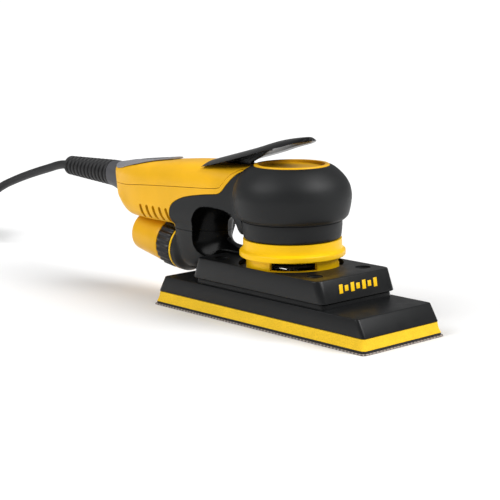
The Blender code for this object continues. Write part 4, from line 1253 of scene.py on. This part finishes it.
class SANDER_OT_keypad(Operator):
    """Add the keypad panel, its three buttons and their raised signs"""
    bl_idname = "sander.keypad"
    bl_label = "Keypad"

    def execute(self, context):
        plan = line((-171, 11.3), (-170, 12.0), (-164, 14.6), (-156, 16.9), (-148, 17.5),
                    (-140, 17.1), (-134, 15.4), (-128, 12.6), (-121, 8.8), (-114, 4.6))

        def section(x, turn):
            y, z = superellipse(turn, plan(x), 0.55, 0.3)
            return x, y, body_top(x, y) + 0.95 + z
        panel = drawn("keypad_plate", 96, 60, -171.0, -114.0, section)
        for _, x, radius in BUTTONS:
            cut(panel, settle(rod("button_hole", radius + 0.3, 60, 120, 48), (x, 0, 0)))
        cut(panel, settle(rod("light_hole", 1.6, 60, 120, 24), (STATUS_LIGHT_X, 0, 0)))
        dress(panel, "root", "panel_grey", "keypad_panel")
        for name, x, radius in BUTTONS:
            self.add_button(name, x, radius)
        return {"FINISHED"}

    def add_button(self, name, x, radius):
        """A button that leans with the panel, its sign standing 0.05 mm proud."""
        slope = (CROWN(x + radius) - CROWN(x - radius)) / (2 * radius)

        def leaning(piece):
            for vert in piece.data.vertices:
                vert.co.z += slope * (vert.co.x - x * MM)
            return piece
        foot = CROWN(x) + 0.7
        top = foot + 0.9
        profile = [(0, foot), (radius, foot)] + arc((radius - 0.4, top - 0.4), 0.4, 0, 90, 4)
        profile += [(radius * 0.6, top - 0.05), (0, top - 0.15)]
        key = leaning(settle(turned(name + "_cap", profile, 48), (x, 0, 0)))
        join(key, settle(rod("stem", radius - 1.9, foot - 6, foot + 0.4), (x, 0, 0)))
        sign = top - 0.5
        if name == "power_button":
            marks = [settle(turned("sign", [(1.1, sign), (1.5, sign), (1.5, sign + 0.55),
                                            (1.1, sign + 0.55)], 32), (x, 0, 0))]
        else:
            marks = [cuboid("sign", (x - 0.35, -2.0, sign), (x + 0.35, 2.0, sign + 0.55))]
            if name == "plus_button":
                marks.append(cuboid("sign", (x - 2.0, -0.35, sign), (x + 2.0, 0.35, sign + 0.56)))
        for mark in marks:
            join(key, leaning(mark))
        dress(key, name, "button_dark", name)


class SANDER_OT_outlet(Operator):
    """Add the flange, the knurled collar and the hose spout"""
    bl_idname = "sander.outlet"
    bl_label = "Dust outlet"

    def execute(self, context):
        flange = turned("flange", [(13, 0.0)] + arc((16.7, 0.3), 0.3, -90, 0, 2)
                        + arc((16.6, 1.2), 0.4, 0, 90, 3) + [(13, 1.6)], 96)
        dress(on_outlet(flange), "root", "ring_yellow", "outlet_flange")

        outline = [(14.6, 1.9), (15.6, 1.9), (16.3, 2.4), (16.8, 3.4), (16.8, 14.9),
                   (16.3, 15.9), (15.6, 16.4), (14.6, 16.4)]
        ribs, rib_depth, ribs_from = 24, 0.42, 15.9

        def collar_point(u, v):
            """Round the collar once for u, and up over its outside for v."""
            at = v * (len(outline) - 1)
            k = min(int(at), len(outline) - 2)
            t = at - k
            radius = outline[k][0] + (outline[k + 1][0] - outline[k][0]) * t
            height = outline[k][1] + (outline[k + 1][1] - outline[k][1]) * t
            turn = 2 * math.pi * u
            if radius > ribs_from:
                wave = math.cos(ribs * turn)
                radius += rib_depth * math.copysign(abs(wave) ** 0.6, wave)
            return radius * math.cos(turn), radius * math.sin(turn), height
        collar = skin("ribbed_collar", 12 * ribs, 21, collar_point, fill=False)
        with editing(collar, "EDGE"):
            bpy.ops.mesh.select_all(action="DESELECT")
            bpy.ops.mesh.select_non_manifold()
            bpy.ops.mesh.bridge_edge_loops()
        sew(collar, fill=False)
        dress(on_outlet(collar), "collar", "collar_black", "knurled_collar", angle=28)

        spout = turned("hose_spout", [(12.4, 3.2), (14.3, 3.2), (14.3, 16.7), (15.8, 16.7)]
                       + arc((15.8, 17.1), 0.4, -90, 0, 2) + [(16.2, 20.0), (15.6, 28), (15.0, 38)]
                       + arc((13.9, 46.5), 0.5, 0, 90, 3) + arc((12.9, 46.5), 0.5, 90, 180, 3),
                       112)
        lug = cuboid("spout_lug", (15.0, -2.6, 17.6), (17.6, 2.6, 21.4))
        soften(lug, 0.7, 3)
        join(spout, lug)
        dress(on_outlet(spout), "spout", "shell_yellow", "outlet_spout")
        return {"FINISHED"}


class SANDER_OT_cable_entry(Operator):
    """Add the slanted cable collar and the ribbed bend protector"""
    bl_idname = "sander.cable_entry"
    bl_label = "Cable entry"

    def execute(self, context):
        half_y = line((-187.7, 9.4), (-182, 9.8), (-176, 10.5), (-169.2, 11.3))
        half_z = line((-187.7, 9.4), (-182, 9.9), (-176, 10.9), (-169.2, 12.2))
        middle = line((-187.7, 79.0), (-182, 78.3), (-176, 77.1), (-169.2, 75.8))
        slant = line((-187.7, 0.0), (-182, 0.0), (-176, 0.1), (-169.2, 0.274))

        rear, length = -187.7, 18.5

        def place(u, v):
            x = rear + length * v
            turn = 2 * math.pi * u
            y, rise = superellipse(turn, half_y(x), half_z(x), 0.9)
            return x - slant(x) * rise, y, middle(x) + rise
        collar = skin("entry_collar", 64, 24, place)
        soften(collar, 0.5, 3, 50)
        cut(collar, settle(rod("lead_bore", 4.4, 0, 26), (-164, 0, 79.0),
                           (0, -math.pi / 2, 0)))
        dress(collar, "root", "entry_grey", "cable_collar")

        count, length = 12, 58.0
        pitch = length / count
        profile = [(3.3, 0.0)]
        for k in range(count):      # each rib is a little lower than the one before
            crest = 9.5 - 2.5 * k / count
            profile += arc((crest - 0.6, (k + 0.18) * pitch), 0.6, -70, 0, 3)
            profile += arc((crest - 0.6, (k + 0.56) * pitch), 0.6, 0, 70, 3)
            profile += [(crest - 1.5, (k + 0.74) * pitch), (crest - 1.5, (k + 0.96) * pitch)]
        profile += [(5.9, length - 0.9), (5.5, length - 0.3), (4.8, length), (3.3, length)]
        guard = turned("ribbed_sleeve", profile, 64)
        settle(guard, (-188, 0, 79.0), (0, -math.pi / 2 + math.radians(0.8), 0))
        dress(guard, "root", "sleeve_black", "bend_protector")
        return {"FINISHED"}


class SANDER_OT_plug(Operator):
    """Add the moulded plug and its two pins"""
    bl_idname = "sander.plug"
    bl_label = "Plug"

    def execute(self, context):
        low, high = (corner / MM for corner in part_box("plug_body"))
        middle = (low + high) / 2
        base = low.z
        back, front = -19.0, 18.0
        half = line((-19, 5.0), (-14, 8.0), (0, 12.6), (14, 13.2), (18, 11.8))
        bottom = line((-19, 3.0), (-14, 1.0), (0, 0.0), (14, 0.0), (18, 1.0))
        top = line((-19, 11.0), (-14, 13.8), (0, 16.0), (14, 16.0), (18, 15.0))

        def section(along, turn):
            y, z = superellipse(turn, half(along), (top(along) - bottom(along)) / 2, 0.5)
            return (low.x - back + along, middle.y + y,
                    base + (top(along) + bottom(along)) / 2 + z)
        body = drawn("plug_moulding", 56, 36, back, front, section)
        for k in range(4):
            x = low.x + 6.5 + 3.2 * k
            for side in (-1, 1):
                wall = middle.y + side * half(x - low.x + back)
                cut(body, cuboid("finger_groove", (x, wall - 0.7, base + 3),
                                 (x + 1.4, wall + 0.7, base + 12)))
        dress(body, "root", "cord_black", "plug_body")
        for number in (1, 2):
            start, end = (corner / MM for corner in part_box(f"plug_pin_{number}"))
            reach = end.x - start.x
            profile = [(0, 0), (1.5, 0), (2.1, 0.8), (2.3, 1.7), (2.3, reach), (0, reach)]
            pin = turned(f"contact_pin_{number}", profile, 32)
            settle(pin, (end.x, (start.y + end.y) / 2, (start.z + end.z) / 2),
                   (0, -math.pi / 2, 0))
            dress(pin, "root", "steel", f"plug_pin_{number}")
        return {"FINISHED"}


class SANDER_OT_inner_parts(Operator):
    """Give every part inside the housing its own finish"""
    bl_idname = "sander.inner_parts"
    bl_label = "Inner parts"

    groups = {
        "steel": ("motor_shaft", "counterweight", "rotor_core", "stator_core", "lower_bearing",
                  "upper_bearing", "eccentric_bearing", "bearing_clip", "lever_pin",
                  "lever_spring", "leg_screw_1", "leg_screw_2", "leg_screw_3", "leg_screw_4"),
        "cast_alloy": ("motor_housing", "end_shield", "base_plate"),
        "winding_copper": ("lower_winding", "upper_winding"),
        "magnet_dark": ("magnet_ring", "capacitor"),
        "board_green": ("control_board",),
        "fan_grey": ("dust_fan",),
        "button_dark": ("lever_switch", "flex_leg_1", "flex_leg_2", "flex_leg_3", "flex_leg_4"),
        "light_green": ("status_light",),
    }

    def execute(self, context):
        for slot, names in self.groups.items():
            for name in names:
                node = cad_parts[name]
                node.data.materials.clear()
                node.data.materials.append(FINISHES[slot])
        return {"FINISHED"}


class SANDER_PT_panel(Panel):
    """Steps and settings of the sander"""
    bl_label = "Orbital sander"
    bl_idname = "SANDER_PT_panel"
    bl_space_type = "VIEW_3D"
    bl_region_type = "UI"
    bl_category = "Sander"

    def draw(self, context):
        for step in STEPS:
            self.layout.operator(step.bl_idname)
        for group in ("sander_sizes", "sander_colours", "sander_stage"):
            box = self.layout.box()
            for name in getattr(context.scene, group).bl_rna.properties.keys():
                if name not in ("rna_type", "name"):
                    box.prop(getattr(context.scene, group), name)


STEPS = (SANDER_OT_stage, SANDER_OT_mains_lead, SANDER_OT_grip, SANDER_OT_shells, SANDER_OT_pad,
         SANDER_OT_emblem, SANDER_OT_base_ring, SANDER_OT_lever, SANDER_OT_keypad,
         SANDER_OT_outlet, SANDER_OT_cable_entry, SANDER_OT_plug, SANDER_OT_inner_parts)
GROUPS = {"sander_sizes": SanderSizes, "sander_colours": SanderColours,
          "sander_stage": SanderStage}
CLASSES = (*GROUPS.values(), *STEPS, SANDER_PT_panel)


def register():
    for entry in CLASSES:
        bpy.utils.register_class(entry)
    for name, group in GROUPS.items():
        setattr(bpy.types.Scene, name, PointerProperty(type=group))


def unregister():
    for name in GROUPS:
        delattr(bpy.types.Scene, name)
    for entry in reversed(CLASSES):
        bpy.utils.unregister_class(entry)


def main():
    register()
    FINISHES.update(make_finishes())
    for step in STEPS:
        getattr(bpy.ops.sander, step.bl_idname.split(".")[1])()


if __name__ == "__main__":
    main()
